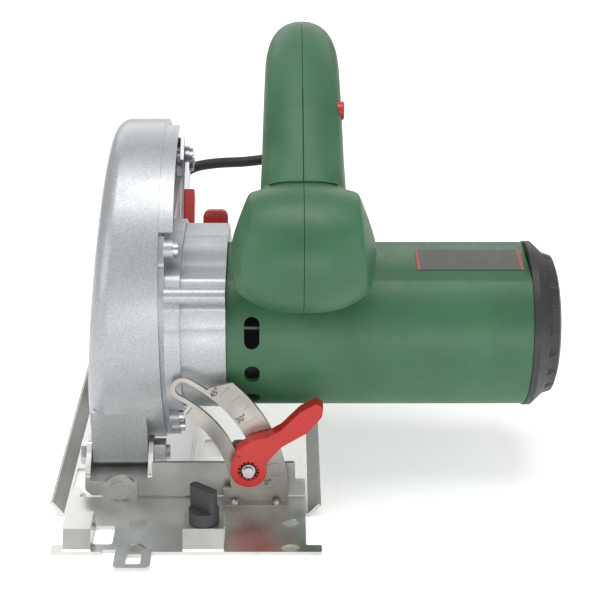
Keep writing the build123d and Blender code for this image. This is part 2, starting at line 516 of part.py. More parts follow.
cap_out = [(179.2, 0), (179.2, 44.6), (182.5, 44.6), (189.0, 38.5), (193.5, 37.0), (195.0, 33.0), (195.0, 0)]
cap_in = [(179.0, 0), (179.0, 40.5), (182, 40.5), (191.8, 32), (191.8, 0)]
cap = turned_x(cap_out, MOTOR) - turned_x(cap_in, MOTOR)
for i in range(20):
    t = 2 * pi * i / 20
    cap -= rod_x(2.6, 188.2, 200, (MOTOR[0] + 39.6 * cos(t), MOTOR[1] + 39.6 * sin(t)))
for i in range(7):
    cap -= block(190, 197, MOTOR[0] - 20, MOTOR[0] + 20, MOTOR[1] - 19.5 + 6 * i, MOTOR[1] - 16.5 + 6 * i)
save("motor_end_cap", cap)

label_mid = radians(sum(FLAT) / 2)
label_r = MOTOR_R * cos(radians((FLAT[1] - FLAT[0]) / 2))
label = Pos(148.0, *MOTOR) * Rot(degrees(label_mid), 0, 0) * Pos(0, label_r + 0.2, 0) * Box(56, 0.4, 22)
save("rating_plate", label)

save("stator_core", tube_x(35.4, 22.0, 58, 108, MOTOR))
windings = [tube_x(34.0, 23.5, 108, 120, MOTOR), tube_x(34.0, 23.5, 46, 58, MOTOR)]
save("stator_windings", *[fillet(w.edges(), 3.0) for w in windings])
armature_shaft = rod_x(4.0, 11.2, 168.5, MOTOR) + rod_x(5.0, 19.6, 160, MOTOR)
armature_shaft += slab_x(gear_face(MOTOR, Z_PINION, M1, first, 0.36), 3.0, 11.4)
save("armature_shaft", armature_shaft)
core = rod_x(21.4, 60, 106, MOTOR) - rod_x(5.0, 0, 200, MOTOR)
for i in range(12):
    core -= rod_x(1.6, 50, 120, (MOTOR[0] + 20.6 * cos(pi * i / 6), MOTOR[1] + 20.6 * sin(pi * i / 6)))
save("armature_core", core)
coils = [tube_x(18.0, 5.0, 106, 118, MOTOR), tube_x(18.0, 5.0, 48, 60, MOTOR)]
save("armature_windings", *coils)
commutator = tube_x(13.0, 5.0, 126, 142, MOTOR)
for i in range(20):
    commutator -= slab_x(Pos(*MOTOR) * Rot(0, 0, 18 * i) * Pos(13, 0) * Rectangle(2.4, 0.6), 120, 150)
save("commutator", commutator)
fan = tube_x(9.0, 5.0, 24, 40, MOTOR) + tube_x(35.2, 8.9, 24, 25.8, MOTOR)
for i in range(14):
    vane = Pos(22, 0) * Rot(0, 0, 18) * Rectangle(24, 1.5)
    fan += slab_x(Pos(*MOTOR) * Rot(0, 0, 360 / 14 * i) * vane, 25.7, 38)
save("cooling_fan", fan)
holders, brushes, springs = [], [], []
for t in (0, 180):
    turn = Pos(0, *MOTOR) * Rot(t, 0, 0)
    holders.append(turn * (block(129, 139, 15.5, 38, -5, 5) - block(130.4, 137.6, 10, 36.5, -3.6, 3.6)))
    brushes.append(turn * block(130.6, 137.4, 13.1, 26, -3.4, 3.4))
    springs.append(turn * (Pos(134, 31.2, 0) * Rot(90, 0, 0) * (Cylinder(2.8, 10.2) - Cylinder(2.0, 11))))
save("brush_holders", *holders)
save("carbon_brushes", *brushes)
save("brush_springs", *springs)

# ---- handle: two moulded shells with the front ball grip and the closed rear loop -------------------
loop_out = [(16, 148), (60, 142), (90, 136), (120, 128), (145, 117.5), (161, 106), (170, 89), (168, 70),
            (158, 50), (146, 32), (134, 17), (112, 12), (84, 14), (52, 22), (30, 50), (-6, 88), (-20, 112)]
gap_in = [(54, 104), (82, 103), (108, 98), (126, 89), (135, 74), (131, 58), (118, 44), (98, 39), (76, 42),
          (60, 50), (52, 66), (46, 88)]
loop = outline(loop_out, 6.0) - outline(gap_in, 6.0)
BALL = (4.1, 132.6)
LOCK_OFF = (92.0, 122.0)         # lock-off button
ball_side = outline([(BALL[0] - 27, BALL[1] + 12), (BALL[0] - 12, BALL[1] + 29), (BALL[0] + 14, BALL[1] + 29),
                     (BALL[0] + 28, BALL[1] + 12), (BALL[0] + 28, BALL[1] - 14), (BALL[0] + 12, BALL[1] - 30),
                     (BALL[0] - 14, BALL[1] - 30), (BALL[0] - 28, BALL[1] - 12)], 9.0)


PRESS = (cos(radians(52.0)), sin(radians(52.0)))       # the way the trigger is pressed, at full depth


def trigger_face(s0, s1, width, radius=0.0):
    """A bar along the trigger's press direction, from s0 to s1 past the loop's inner edge."""
    mid, half = (126.95, 88.9), width / 2
    corners = [(mid[0] + s * PRESS[0] + w * PRESS[1], mid[1] + s * PRESS[1] - w * PRESS[0])
               for s, w in ((s0, -half), (s0, half), (s1, half), (s1, -half))]
    return outline(corners, radius)


def handle_half(sign):
    """One shell: sign -1 is the blade side, +1 the motor side."""
    x_in, x_out = HANDLE_X + sign * 0.1, HANDLE_X + sign * HANDLE_HALF_W
    half = slab_x(loop, min(x_in, x_out), max(x_in, x_out))
    face = half.faces().sort_by(Axis.X)[-1 if sign > 0 else 0]
    half = chamfer(face.edges(), 5.0)
    ball_out = HANDLE_X + sign * 36.5
    ball = slab_x(ball_side, min(x_in, ball_out), max(x_in, ball_out))
    ball_face = ball.faces().sort_by(Axis.X)[-1 if sign > 0 else 0]
    ball = chamfer(ball_face.edges(), 8.0)
    half += ball
    half -= rod_x(MOTOR_R + 0.15, 0, 200, MOTOR_FULL)
    pocket = [(88, 131), (118, 124), (140, 115), (155, 103), (160, 88), (156, 74), (144, 78), (140, 92),
              (124, 102), (88, 113)]
    half -= slab_x(outline(pocket, 3.0), HANDLE_X - 17.5, HANDLE_X + 17.5)
    half -= slab_x(trigger_face(-4.0, 18.0, 14.8), HANDLE_X - 6.4, HANDLE_X + 6.4)
    half -= cord_channel
    if sign > 0:
        half -= rod_x(5.1, 64, 90, LOCK_OFF)
    for at in HANDLE_SCREWS:
        half -= rod_x(2.05, 30, 100, at)
        half -= rod_x(3.9, HANDLE_X + 17, 100, at)
    return swing_up(half)


HANDLE_SCREWS = [(80.0, 110.5), (148.0, 61.0), (106.0, 26.0), (70.0, 26.0), (14.0, 110.0)]
EXIT_FULL = (141.0, 24.0)        # where the cord leaves the loop's lower end
EXIT_TILT = -35.0
cord_dir_full = (cos(radians(EXIT_TILT)), sin(radians(EXIT_TILT)))
channel_at = (HANDLE_X, EXIT_FULL[0] - 20 * cord_dir_full[0], EXIT_FULL[1] - 20 * cord_dir_full[1])
channel_start = Plane(origin=channel_at, z_dir=(0, *cord_dir_full))
cord_channel = extrude(channel_start * Circle(5.6), 60)
save("handle_left", handle_half(-1))
save("handle_right", handle_half(1))
head = HANDLE_X + 17
handle_screws = [rod_x(2.0, HANDLE_X - 14, head, at) + rod_x(3.8, head, head + 2, at)
                 - hexagon_x(2.2, head + 1, head + 3, at) for at in HANDLE_SCREWS]
save("handle_screws", *[swing_up(screw) for screw in handle_screws])

# ---- switch, trigger and lock-off button ---------------------------------------------------------
switch = slab_x(outline([(97, 126), (118, 120.5), (120, 106.5), (97, 112)]), HANDLE_X - 9, HANDLE_X + 9)
save("switch_body", swing_up(switch))
save("trigger", swing_up(slab_x(trigger_face(-7.0, 11.5, 13.9, 2.0), HANDLE_X - 6.0, HANDLE_X + 6.0)))
save("lock_off_button", swing_up(rod_x(5.0, HANDLE_X + 12.0, HANDLE_X + HANDLE_HALF_W, LOCK_OFF)))

# ---- spindle lock button -------------------------------------------------------------------------
lock = lock_face * block(-7, 7, -3.1, 3.1, -6, 6.6)
lock = fillet(lock.edges().filter_by(lambda e: abs(e.length - 6.2) < 0.1).group_by(Axis.Z)[-1], 4.0)
pin_tip = 10.2 - LOCK_OUT
lock += lock_face * slab_z(Circle(2.4), pin_tip, -5.0)
lock -= lock_face * Pos(0, -3.4, 2.0) * Rot(90, 0, 0) * Cylinder(3.2, 1.2)
save("spindle_lock", lock)

# ---- levers --------------------------------------------------------------------------------------
arm = [(-7.5, 4.5), (-4, 16), (2, 23), (5, 30), (7, 44), (11, 53), (15.5, 53), (18, 48), (17, 36),
       (11, 22), (9.4, 6)]
arm_face = Rot(0, 0, -35) * (Circle(9.6) + Pos(-5.0, 0) * outline(arm, 1.5))
lever = slab_y(Pos(*CLAMP) * arm_face, -97.0, -88.7)
lever -= rod_y(5.6, -99, -91.5, *CLAMP)
lever -= rod_y(3.06, -110, -80, *CLAMP)
save("bevel_lever", lever)
lever_nut = slab_y(Pos(*CLAMP) * RegularPolygon(4.6, 6, major_radius=False), -96.4, -91.6)
lever_nut -= rod_y(3.05, -110, -80, *CLAMP)
save("bevel_lever_nut", lever_nut)

DEPTH_ARM_DIR = 217.0            # the clamped lever points forward
depth_arm = outline([(0, -6), (0, 6), (22, 5.5), (46, 9), (48, 3), (24, -3.5)], 1.5)
depth_face = disc(8.0, DEPTH_CLAMP) + Pos(*DEPTH_CLAMP) * Rot(0, 0, DEPTH_ARM_DIR) * depth_arm
depth_lever = slab_x(depth_face, -9.9, -7.4) + rod_x(7.0, -7.5, -5.4, DEPTH_CLAMP)
grip = outline([(26, -3.2), (26, 5.9), (46, 9), (48, 3)], 1.5)
depth_lever += slab_x(Pos(*DEPTH_CLAMP) * Rot(0, 0, DEPTH_ARM_DIR) * grip, -7.5, -4.2)
depth_lever -= rod_x(3.05, -30, 30, DEPTH_CLAMP)
save("depth_lever", depth_lever)

# ---- cord, its strain relief, put-away coil and plug ---------------------------------------------
cord_angle = radians(EXIT_TILT + SWING)
exit_at = raised(*EXIT_FULL)
out = (cos(cord_angle), sin(cord_angle))
relief_plane = Plane(origin=(HANDLE_X, exit_at[0] - 12 * out[0], exit_at[1] - 12 * out[1]), z_dir=(0, *out))
relief = loft([relief_plane * Circle(5.5), relief_plane.offset(50) * Circle(4.4)])
save("cord_strain_relief", relief)
start = (HANDLE_X, exit_at[0] + 38 * out[0], exit_at[1] + 38 * out[1])
COIL = (140.0, 110.0)
route = [start, (HANDLE_X, start[1] + 23 * out[0], start[2] + 23 * out[1]), (63, 171, 155),
         (65.5, 184, 137), (59, 189, 117),
         (44, 189, 105.5), (24, 187, 103), (4, 182.5, 104), (-15, 175, 103), (-31, 167, 89),
         (-38.5, 162, 65), (-40, 161, 37), (-33, 165, 12), (-12, 171, 3.8), (18, 173, 3.8), (45, 170, 3.8), (72, 163, 3.8),
         (98, 156, 3.8), (121, 149.2, 3.8)]


def corner_radii(points):
    """Each corner's arc: 0.45 of its shorter run over the tangent of half the turn."""
    radii = []
    for a, b, c in zip(points, points[1:], points[2:]):
        u, v = Vector(*b) - Vector(*a), Vector(*c) - Vector(*b)
        radii.append(0.45 * min(u.length, v.length) / tan(radians(u.get_angle(v)) / 2))
    return radii


radii = corner_radii(route)
print("cord radii", [round(r, 1) for r in radii], "runs", [
    round((Vector(*b) - Vector(*a)).length, 1) for a, b in zip(route, route[1:])])
path = FilletPolyline(*route, radius=radii)
cord_plane = Plane(origin=route[0], z_dir=Vector(*route[1]) - Vector(*route[0]))
cord = sweep(cord_plane * Circle(CORD_R), path=path)
print("cord length", round(path.length, 1), "volume over section times length",
      round(cord.volume / (pi * CORD_R ** 2 * path.length), 4))
save("power_cord", cord)
save("cord_coil", slab_z(disc(45.5, COIL) - disc(31.0, COIL), 0.2, 21.5))
PLUG = (155.0, 170.0)
plug = slab_z(Pos(*PLUG) * RectangleRounded(34, 30, 8.0), 0.2, 16.2)
plug = fillet(plug.edges().group_by(Axis.Z)[-1], 4.0)
save("plug_body", plug)
pins = [rod_x(2.4, PLUG[0] + 17, PLUG[0] + 36, (PLUG[1] + dy, 8.2)) for dy in (-9.5, 9.5)]
save("plug_pins", *pins)
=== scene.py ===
import json
from math import copysign, cos, pi, radians, sin, sqrt

import bmesh
import bpy
from mathutils import Matrix, Vector
from mathutils.bvhtree import BVHTree


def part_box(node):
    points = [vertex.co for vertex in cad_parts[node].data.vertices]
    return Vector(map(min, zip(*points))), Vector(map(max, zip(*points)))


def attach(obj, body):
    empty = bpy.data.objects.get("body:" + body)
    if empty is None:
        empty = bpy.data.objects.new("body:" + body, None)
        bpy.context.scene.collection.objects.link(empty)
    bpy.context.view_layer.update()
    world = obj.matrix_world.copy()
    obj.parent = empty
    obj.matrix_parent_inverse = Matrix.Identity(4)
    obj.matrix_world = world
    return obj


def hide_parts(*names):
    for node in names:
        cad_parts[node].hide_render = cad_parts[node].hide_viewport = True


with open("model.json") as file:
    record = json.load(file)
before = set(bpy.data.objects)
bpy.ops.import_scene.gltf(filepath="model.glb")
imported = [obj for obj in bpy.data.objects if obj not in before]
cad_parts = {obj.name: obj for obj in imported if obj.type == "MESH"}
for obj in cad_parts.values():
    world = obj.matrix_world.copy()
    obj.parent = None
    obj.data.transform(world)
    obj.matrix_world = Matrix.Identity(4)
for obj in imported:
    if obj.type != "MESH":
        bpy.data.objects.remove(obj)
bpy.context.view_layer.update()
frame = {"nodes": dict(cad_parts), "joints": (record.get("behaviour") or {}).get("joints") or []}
MM = 0.001


# ---- Studio ----------------------------------------------------------------------------------
# A wide pale floor, five soft lights and a white surround. The camera looks down a little on the
# front of the saw from a short distance.
def matt_surface(name, colour, roughness, glow):
    """A plain stage surface, lit a little from within as an overexposed backdrop is."""
    surface = bpy.data.materials.new(name)
    surface.use_nodes = True
    skin = surface.node_tree.nodes["Principled BSDF"]
    skin.inputs["Base Color"].default_value = (*colour, 1.0)
    skin.inputs["Roughness"].default_value = roughness
    skin.inputs["Emission Color"].default_value = (1.0, 1.0, 1.0, 1.0)
    skin.inputs["Emission Strength"].default_value = glow
    return surface


def piece_from(name, points, faces, smooth=True):
    """A piece whose mesh is given in the frame's metres."""
    mesh = bpy.data.meshes.new(name)
    mesh.from_pydata([tuple(p) for p in points], [], faces)
    mesh.validate()
    mesh.polygons.foreach_set("use_smooth", [smooth] * len(mesh.polygons))
    made = bpy.data.objects.new(name, mesh)
    bpy.context.scene.collection.objects.link(made)
    return made


FLOOR_HALF = 6.0
floor_corners = [(-FLOOR_HALF, -FLOOR_HALF), (FLOOR_HALF, -FLOOR_HALF),
                 (FLOOR_HALF, FLOOR_HALF), (-FLOOR_HALF, FLOOR_HALF)]
floor = piece_from("studio_floor", [(x, y, -0.0002) for x, y in floor_corners], [(0, 1, 2, 3)])
floor.data.materials.append(matt_surface("floor_paper", (0.93, 0.93, 0.93), 0.75, 0.34))


def soft_light(name, place, aim, side, watts):
    """A rectangular soft light that points at a place on the saw."""
    lamp = bpy.data.lights.new(name, "AREA")
    lamp.shape = "RECTANGLE"
    lamp.size, lamp.size_y = side
    lamp.energy = watts
    holder = bpy.data.objects.new(name, lamp)
    holder.location = place
    holder.rotation_euler = (Vector(aim) - Vector(place)).to_track_quat("-Z", "Y").to_euler()
    bpy.context.scene.collection.objects.link(holder)


soft_light("overhead_softbox", (0.0, -0.2, 1.7), (0.05, 0.0, 0.05), (1.3, 0.9), 16.0)
soft_light("left_softbox", (-1.3, -1.0, 0.85), (0.0, 0.0, 0.1), (0.9, 1.1), 6.0)
soft_light("right_softbox", (1.4, -1.1, 0.7), (0.05, 0.0, 0.08), (0.8, 1.0), 4.5)
soft_light("front_low_softbox", (0.15, -1.6, 0.16), (0.05, -0.1, 0.12), (0.7, 0.4), 4.5)
soft_light("back_softbox", (0.0, 1.7, 0.95), (0.0, 0.0, 0.1), (2.2, 1.0), 9.0)
surround = bpy.data.worlds.new("white_surround")
surround.use_nodes = True
surround.node_tree.nodes["Background"].inputs["Color"].default_value = (1.0, 1.0, 1.0, 1.0)
surround.node_tree.nodes["Background"].inputs["Strength"].default_value = 0.42
bpy.context.scene.world = surround
bpy.context.scene.view_settings.view_transform = "Standard"

CAMERA_TILT = radians(23.493)
lens = bpy.data.cameras.new("photo_camera")
lens.lens = 90.0
lens.sensor_width = 36.0
lens.shift_x = 0.025
camera = bpy.data.objects.new("photo_camera", lens)
camera.location = (0.0502, -0.7830, 0.4226)
camera.rotation_euler = (pi / 2 - CAMERA_TILT, 0.0, 0.0)
bpy.context.scene.collection.objects.link(camera)
bpy.context.scene.camera = camera


# ---- Mains cord ------------------------------------------------------------------------------
# A round two-core rubber lead. It leaves the handle's lower end, bends behind the blade guard
# and down to the floor, and its spare length is wound into a neat coil behind the motor.
class Value:
    """A shader socket that takes part in sums."""

    def __init__(self, finish, socket):
        self.finish, self.socket = finish, socket

    def combine(self, operation, *others):
        return self.finish.node("Math", {"operation": operation}, dict(enumerate((self, *others))))

    def __add__(self, other):
        return self.combine("ADD", other)

    def __mul__(self, other):
        return self.combine("MULTIPLY", other)

    def __truediv__(self, other):
        return self.combine("DIVIDE", other)

    def __gt__(self, other):
        return self.combine("GREATER_THAN", other)

    def __lt__(self, other):
        return self.combine("LESS_THAN", other)

    __radd__, __rmul__ = __add__, __mul__


class Finish:
    """A material in the making. What is the same all over is set on the shader's own sockets."""

    def __init__(self, name, **same_all_over):
        self.material = bpy.data.materials.new(name)
        self.material.use_nodes = True
        self.tree = self.material.node_tree
        self.skin = self.tree.nodes["Principled BSDF"]
        for socket, value in same_all_over.items():
            self.skin.inputs[socket.replace("_", " ")].default_value = value

    def node(self, kind, settings, sockets, out=0):
        """Any node: its settings first, then the values or links of its sockets."""
        made = self.tree.nodes.new("ShaderNode" + kind)
        for key, value in settings.items():
            setattr(made, key, value)
        for slot, value in sockets.items():
            if isinstance(value, Value):
                self.tree.links.new(value.socket, made.inputs[slot])
            else:
                made.inputs[slot].default_value = value
        return Value(self, made.outputs[out])

    def place(self, centre=(0, 0, 0), turn=(0, 0, 0), stretch=(1, 1, 1)):
        """Object coordinates about a centre, turned and stretched."""
        here = self.node("TexCoord", {}, {}, out="Object")
        moved = self.node("VectorMath", {"operation": "SUBTRACT"}, {0: here, 1: tuple(centre)})
        return self.node("Mapping", {}, {"Vector": moved, "Rotation": turn, "Scale": stretch})

    def along(self, vector, axis):
        return self.node("SeparateXYZ", {}, {0: vector}, out=axis)

    def noise(self, where, size, detail=2.0, roughness=0.5):
        """Cloudy noise from 0 to 1 whose patches are about size metres across."""
        return self.node("TexNoise", {}, {"Vector": where, "Scale": 1.0 / size, "Detail": detail,
                                          "Roughness": roughness})

    def cells(self, where, size, out="Distance"):
        return self.node("TexVoronoi", {}, {"Vector": where, "Scale": 1.0 / size}, out=out)

    def blend(self, amount, low, high):
        """A colour between two others."""
        def full(colour):
            return colour if isinstance(colour, Value) else (*colour, 1.0)
        return self.node("Mix", {"data_type": "RGBA"}, {0: amount, 6: full(low), 7: full(high)},
                         out=2)

    def span(self, amount, low, high, start=0.0, end=1.0):
        """Amount from start to end becomes low to high, and stops there."""
        return self.node("MapRange", {"clamp": True},
                         {0: amount, 1: start, 2: end, 3: low, 4: high})

    def relief(self, height, depth, strength=1.0, under=None):
        """A bump of that depth in metres, on top of another one."""
        sockets = {"Height": height, "Distance": depth, "Strength": strength}
        if under is not None:
            sockets["Normal"] = under
        return self.node("Bump", {}, sockets)

    def wear(self, socket, value):
        """What varies over the surface."""
        self.tree.links.new(value.socket, self.skin.inputs[socket])


def black_rubber(name, grain):
    """Black rubber with a dusty bloom, faint mould grain and greasy patches."""
    made = Finish(name, Metallic=0.0, Specular_IOR_Level=0.4)
    here = made.place()
    bloom = made.noise(here, 0.018, 4.0)
    fine = made.noise(here, grain, 3.0)
    made.wear("Base Color", made.blend(made.span(bloom, 0.0, 1.0, 0.35, 0.7),
                                       (0.010, 0.010, 0.011), (0.024, 0.023, 0.022)))
    made.wear("Roughness", made.span(bloom, 0.42, 0.60, 0.3, 0.7))
    made.wear("Normal", made.relief(fine, 0.00012, 0.5))
    return made.material


def repaint(node, material):
    """Gives a CAD piece its finish."""
    piece = frame["nodes"][node]
    piece.data.materials.clear()
    piece.data.materials.append(material)


CORD_WIDTH = 7.0 * MM
cord_exit = Vector((59.5, 125.4, 159.8)) * MM
FLOOR_HEIGHT = 3.8                       # of the cord's middle where it lies on the floor
cord_route = [(59.5, 125.4, 159.8), (59.5, 148.3, 162.2), (63, 171, 155), (65.5, 184, 137),
              (59, 189, 117), (44, 189, 105.5), (24, 187, 103), (4, 182.5, 104), (-15, 175, 103),
              (-31, 167, 89), (-38.5, 162, 65), (-40, 161, 37), (-33, 165, 12)]
cord_route += [(x, y, FLOOR_HEIGHT) for x, y in ((-12, 171), (18, 173), (45, 170), (72, 163),
                                                 (98, 156), (118, 151.0))]
COIL_CENTRE = (140.0, 110.0)
COIL_RADII = (41.4, 34.3)                # outer and inner layer
COIL_PITCH = 7.2
COIL_SWELL = 1.012                       # lets a rounded line keep the turns' full radius
COIL_TURNS = 5.86
POINTS_PER_TURN = 16
layers = [COIL_RADII[0], COIL_RADII[1], COIL_RADII[1], COIL_RADII[0], COIL_RADII[1], COIL_RADII[0]]
levels = [0, 0, 1, 1, 2, 2]
START_ANGLE = 84.0
for step in range(int(COIL_TURNS * POINTS_PER_TURN)):
    turn = int(step / POINTS_PER_TURN)
    into = min(1.0, max(0.0, (step % POINTS_PER_TURN) / POINTS_PER_TURN * 3.0 - 2.0))
    following = min(turn + 1, len(layers) - 1)
    radius = layers[turn] + (layers[following] - layers[turn]) * into
    height = levels[turn] + (levels[following] - levels[turn]) * into
    angle = radians(START_ANGLE - step * 360.0 / POINTS_PER_TURN)
    cord_route.append((COIL_CENTRE[0] + radius * COIL_SWELL * cos(angle),
                       COIL_CENTRE[1] + radius * COIL_SWELL * sin(angle),
                       FLOOR_HEIGHT + height * COIL_PITCH))
cord_route += [(114.0, 151.5, 18.0), (119.5, 163.0, 15.0), (128.0, 169.6, 10.5),
               (139.5, 170.0, 8.4)]

cord_curve = bpy.data.curves.new("mains_cord", "CURVE")
cord_curve.dimensions = "3D"
line = cord_curve.splines.new("NURBS")
line.points.add(len(cord_route) - 1)
for point, (x, y, z) in zip(line.points, cord_route):
    point.co = (x * MM, y * MM, z * MM, 1.0)
line.order_u = 3
line.use_endpoint_u = True
line.resolution_u = 6
cord_curve.bevel_depth = CORD_WIDTH / 2
cord_curve.bevel_resolution = 4
cord_curve.use_fill_caps = True
mains_cord = bpy.data.objects.new("mains_cord", cord_curve)
bpy.context.scene.collection.objects.link(mains_cord)
rubber = black_rubber("rubber_sheath", 0.0009)
cord_curve.materials.append(rubber)
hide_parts("power_cord", "cord_coil")
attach(mains_cord, "saw_body")


# ---- Strain relief ---------------------------------------------------------------------------
# A tapered rubber sleeve moulded on the lead, cut into rings so that it bends with it. Its thick
# end is held between the handle shells.
def lathe(name, start, along, profile, around=40):
    """A closed turned piece: profile holds (distance along the axis, radius)."""
    along = Vector(along).normalized()
    side = along.orthogonal().normalized()
    other = along.cross(side)
    points, faces = [], []
    for distance, radius in profile:
        middle = Vector(start) + along * distance
        for i in range(around):
            a = 2 * pi * i / around
            points.append(middle + (side * cos(a) + other * sin(a)) * radius)
    for ring in range(len(profile) - 1):
        for i in range(around):
            j = (i + 1) % around
            low, high = ring * around, (ring + 1) * around
            faces.append((low + i, low + j, high + j, high + i))
    faces.append(tuple(reversed(range(around))))
    faces.append(tuple(range((len(profile) - 1) * around, len(profile) * around)))
    return piece_from(name, points, faces)


def crease(piece, width, segments=2, angle=35.0):
    """Rounds the edges of a piece and keeps its flat faces flat."""
    rounding = piece.modifiers.new("rounded_edges", "BEVEL")
    rounding.width = width
    rounding.segments = segments
    rounding.limit_method = "ANGLE"
    rounding.angle_limit = radians(angle)
    rounding.harden_normals = True
    return piece


relief_tilt = radians(6.0)
relief_way = Vector((0.0, cos(relief_tilt), sin(relief_tilt)))
RELIEF_LENGTH = 50.0 * MM
relief_start = cord_exit - relief_way * RELIEF_LENGTH
RING_START, RING_END, RINGS = 16.0, 44.0, 7
THICK_END, TAPER, GROOVE = 5.4, 0.9, 0.75
sleeve = [(0.0, 5.5), (13.0, THICK_END)]
for i in range(RINGS):
    s = RING_START + (RING_END - RING_START) * i / RINGS
    swell = THICK_END - TAPER * i / RINGS
    sleeve += [(s, swell), (s + 0.4, swell - GROOVE), (s + 1.4, swell - GROOVE), (s + 1.8, swell)]
sleeve += [(46.0, 4.4), (49.4, 4.3), (49.9, 3.9)]
strain_relief = lathe("strain_relief", relief_start, relief_way,
                      [(s * MM, r * MM) for s, r in sleeve])
strain_relief.data.materials.append(rubber)
crease(strain_relief, 0.2 * MM)
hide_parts("cord_strain_relief")
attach(strain_relief, "saw_body")


# ---- Plug ------------------------------------------------------------------------------------
# A plug moulded on the lead in black rubber, flat and oval, with finger ribs round its waist. Its
# two round pins are brass.
def oval(count, half_a, half_b, power):
    """Points of a rounded rectangle: power 2 is an ellipse, more is squarer."""
    points = []
    for i in range(count):
        c, s = cos(2 * pi * i / count), sin(2 * pi * i / count)
        points.append((copysign(abs(c) ** (2 / power), c) * half_a,
                       copysign(abs(s) ** (2 / power), s) * half_b))
    return points


def skin(name, rings, closed):
    """A closed skin over rings of points, in a loop or with flat ends."""
    around = len(rings[0])
    faces = []
    for r in range(len(rings) if closed else len(rings) - 1):
        low, high = r * around, (r + 1) % len(rings) * around
        for i in range(around):
            j = (i + 1) % around
            faces.append((low + i, low + j, high + j, high + i))
    if not closed:
        faces.append(tuple(reversed(range(around))))
        faces.append(tuple(range((len(rings) - 1) * around, len(rings) * around)))
    made = piece_from(name, [p * MM for ring in rings for p in ring], faces)
    form = bmesh.new()
    form.from_mesh(made.data)
    bmesh.ops.recalc_face_normals(form, faces=form.faces)
    form.to_mesh(made.data)
    form.free()
    return made


PLUG_MIDDLE = (170.0, 8.2)               # Y and Z of its length
RIBS, RIB_PITCH, RIB_DEPTH = 5, 2.6, 0.9
plug_profile = [(138.0, 5.2, 5.0), (139.6, 6.2, 5.7), (143.0, 8.2, 6.5), (146.0, 10.6, 7.0)]
for rib in range(RIBS):
    place, waist = 147.0 + RIB_PITCH * rib, 12.0 + 0.35 * rib
    plug_profile += [(place, waist, 7.3), (place + 0.5, waist - RIB_DEPTH, 6.9),
                     (place + 1.3, waist - RIB_DEPTH, 6.9), (place + 1.8, waist, 7.3)]
plug_profile += [(161.5, 14.2, 7.8), (166.0, 14.8, 7.9), (170.6, 14.9, 7.9), (171.6, 14.5, 7.6),
                 (172.0, 13.8, 7.0)]
plug_rings = [[Vector((x, PLUG_MIDDLE[0] + y, PLUG_MIDDLE[1] + z))
               for y, z in oval(48, wide, high, 2.8)] for x, wide, high in plug_profile]
plug = skin("moulded_plug", plug_rings, False)
plug.data.materials.append(rubber)
crease(plug, 0.15 * MM)
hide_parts("plug_body")
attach(plug, "saw_body")


# ---- Sole plate ------------------------------------------------------------------------------
# Pressed from 2 mm bright zinc-plated sheet, with turned-up sides and lanced straps and lugs. Its
# edges are softened by the press and its face shows rolling marks, fine scratches and haze.
def rounded_copy(name, node, width, segments=2, angle=32.0):
    """A piece of the CAD node's shape with its sharp edges rounded."""
    source = frame["nodes"][node].data
    form = bmesh.new()
    for vertex in source.vertices:
        form.verts.new(vertex.co)
    form.verts.ensure_lookup_table()
    for face in source.polygons:
        corners = [form.verts[i] for i in face.vertices]
        if form.faces.get(corners) is None:
            form.faces.new(corners)
    bmesh.ops.remove_doubles(form, verts=form.verts, dist=3e-6)
    bmesh.ops.dissolve_limit(form, angle_limit=radians(0.6), verts=form.verts, edges=form.edges)
    for face in form.faces:
        face.smooth = True
    mesh = bpy.data.meshes.new(name)
    form.to_mesh(mesh)
    form.free()
    made = bpy.data.objects.new(name, mesh)
    bpy.context.scene.collection.objects.link(made)
    if width:
        crease(made, width, segments, angle)
    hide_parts(node)
    return made


def fit_up(piece, material, body):
    """Finish and CAD body of a piece."""
    piece.data.materials.clear()
    piece.data.materials.append(material)
    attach(piece, body)
    return piece


def bright_zinc(name, dark, light):
    """Zinc plating on rolled sheet: cloudy spangle, rolling lines, scratches and a soft ripple."""
    made = Finish(name, Metallic=1.0)
    here = made.place()
    cloud = made.noise(here, 0.030, 4.0, 0.6)
    spangle = made.cells(here, 0.007, out="Color")
    rolled = made.noise(made.place(stretch=(1, 0.02, 1)), 0.0009, 3.0)
    scratch = made.noise(made.place(turn=(0, 0, 0.7)), 0.0016, 5.0, 0.75)
    tone = made.blend(made.span(cloud, 0.0, 1.0, 0.3, 0.72), dark, light)
    tone = made.blend(made.span(made.along(spangle, 0), 0.0, 0.22), tone, light)
    made.wear("Base Color", tone)
    made.wear("Roughness", made.span(cloud, 0.26, 0.38, 0.3, 0.7)
              + made.span(scratch, 0.0, 0.10, 0.52, 0.75))
    ripple = made.relief(made.noise(here, 0.045, 1.0), 0.0011, 0.28)
    made.wear("Normal", made.relief(rolled, 0.00006, 0.25, under=ripple))
    return made.material


sheet_zinc = bright_zinc("bright_zinc_sheet", (0.52, 0.53, 0.50), (0.70, 0.71, 0.68))
fit_up(rounded_copy("pressed_sole", "sole_plate", 0.35 * MM), sheet_zinc, "sole")
for fastener in ("bevel_pivot_rivets", "guide_knob_stud"):
    repaint(fastener, sheet_zinc)


# ---- Bevel quadrant --------------------------------------------------------------------------
# A satin nickel-plated plate riveted to the sole. The clamp bolt runs in its curved slot, and a
# degree scale is embossed along it.
def satin_nickel(name, dark, light):
    """Warm satin nickel with fine grain one way and a faint yellowing."""
    made = Finish(name, Metallic=1.0)
    here = made.place()
    cloud = made.noise(here, 0.016, 3.0)
    grain = made.noise(made.place(turn=(0, 0.45, 0), stretch=(0.04, 1, 1)), 0.0005, 3.0, 0.7)
    made.wear("Base Color", made.blend(made.span(cloud, 0.0, 1.0, 0.3, 0.7), dark, light))
    made.wear("Roughness", made.span(grain, 0.30, 0.46, 0.3, 0.7))
    made.wear("Normal", made.relief(grain, 0.00005, 0.35))
    return made.material


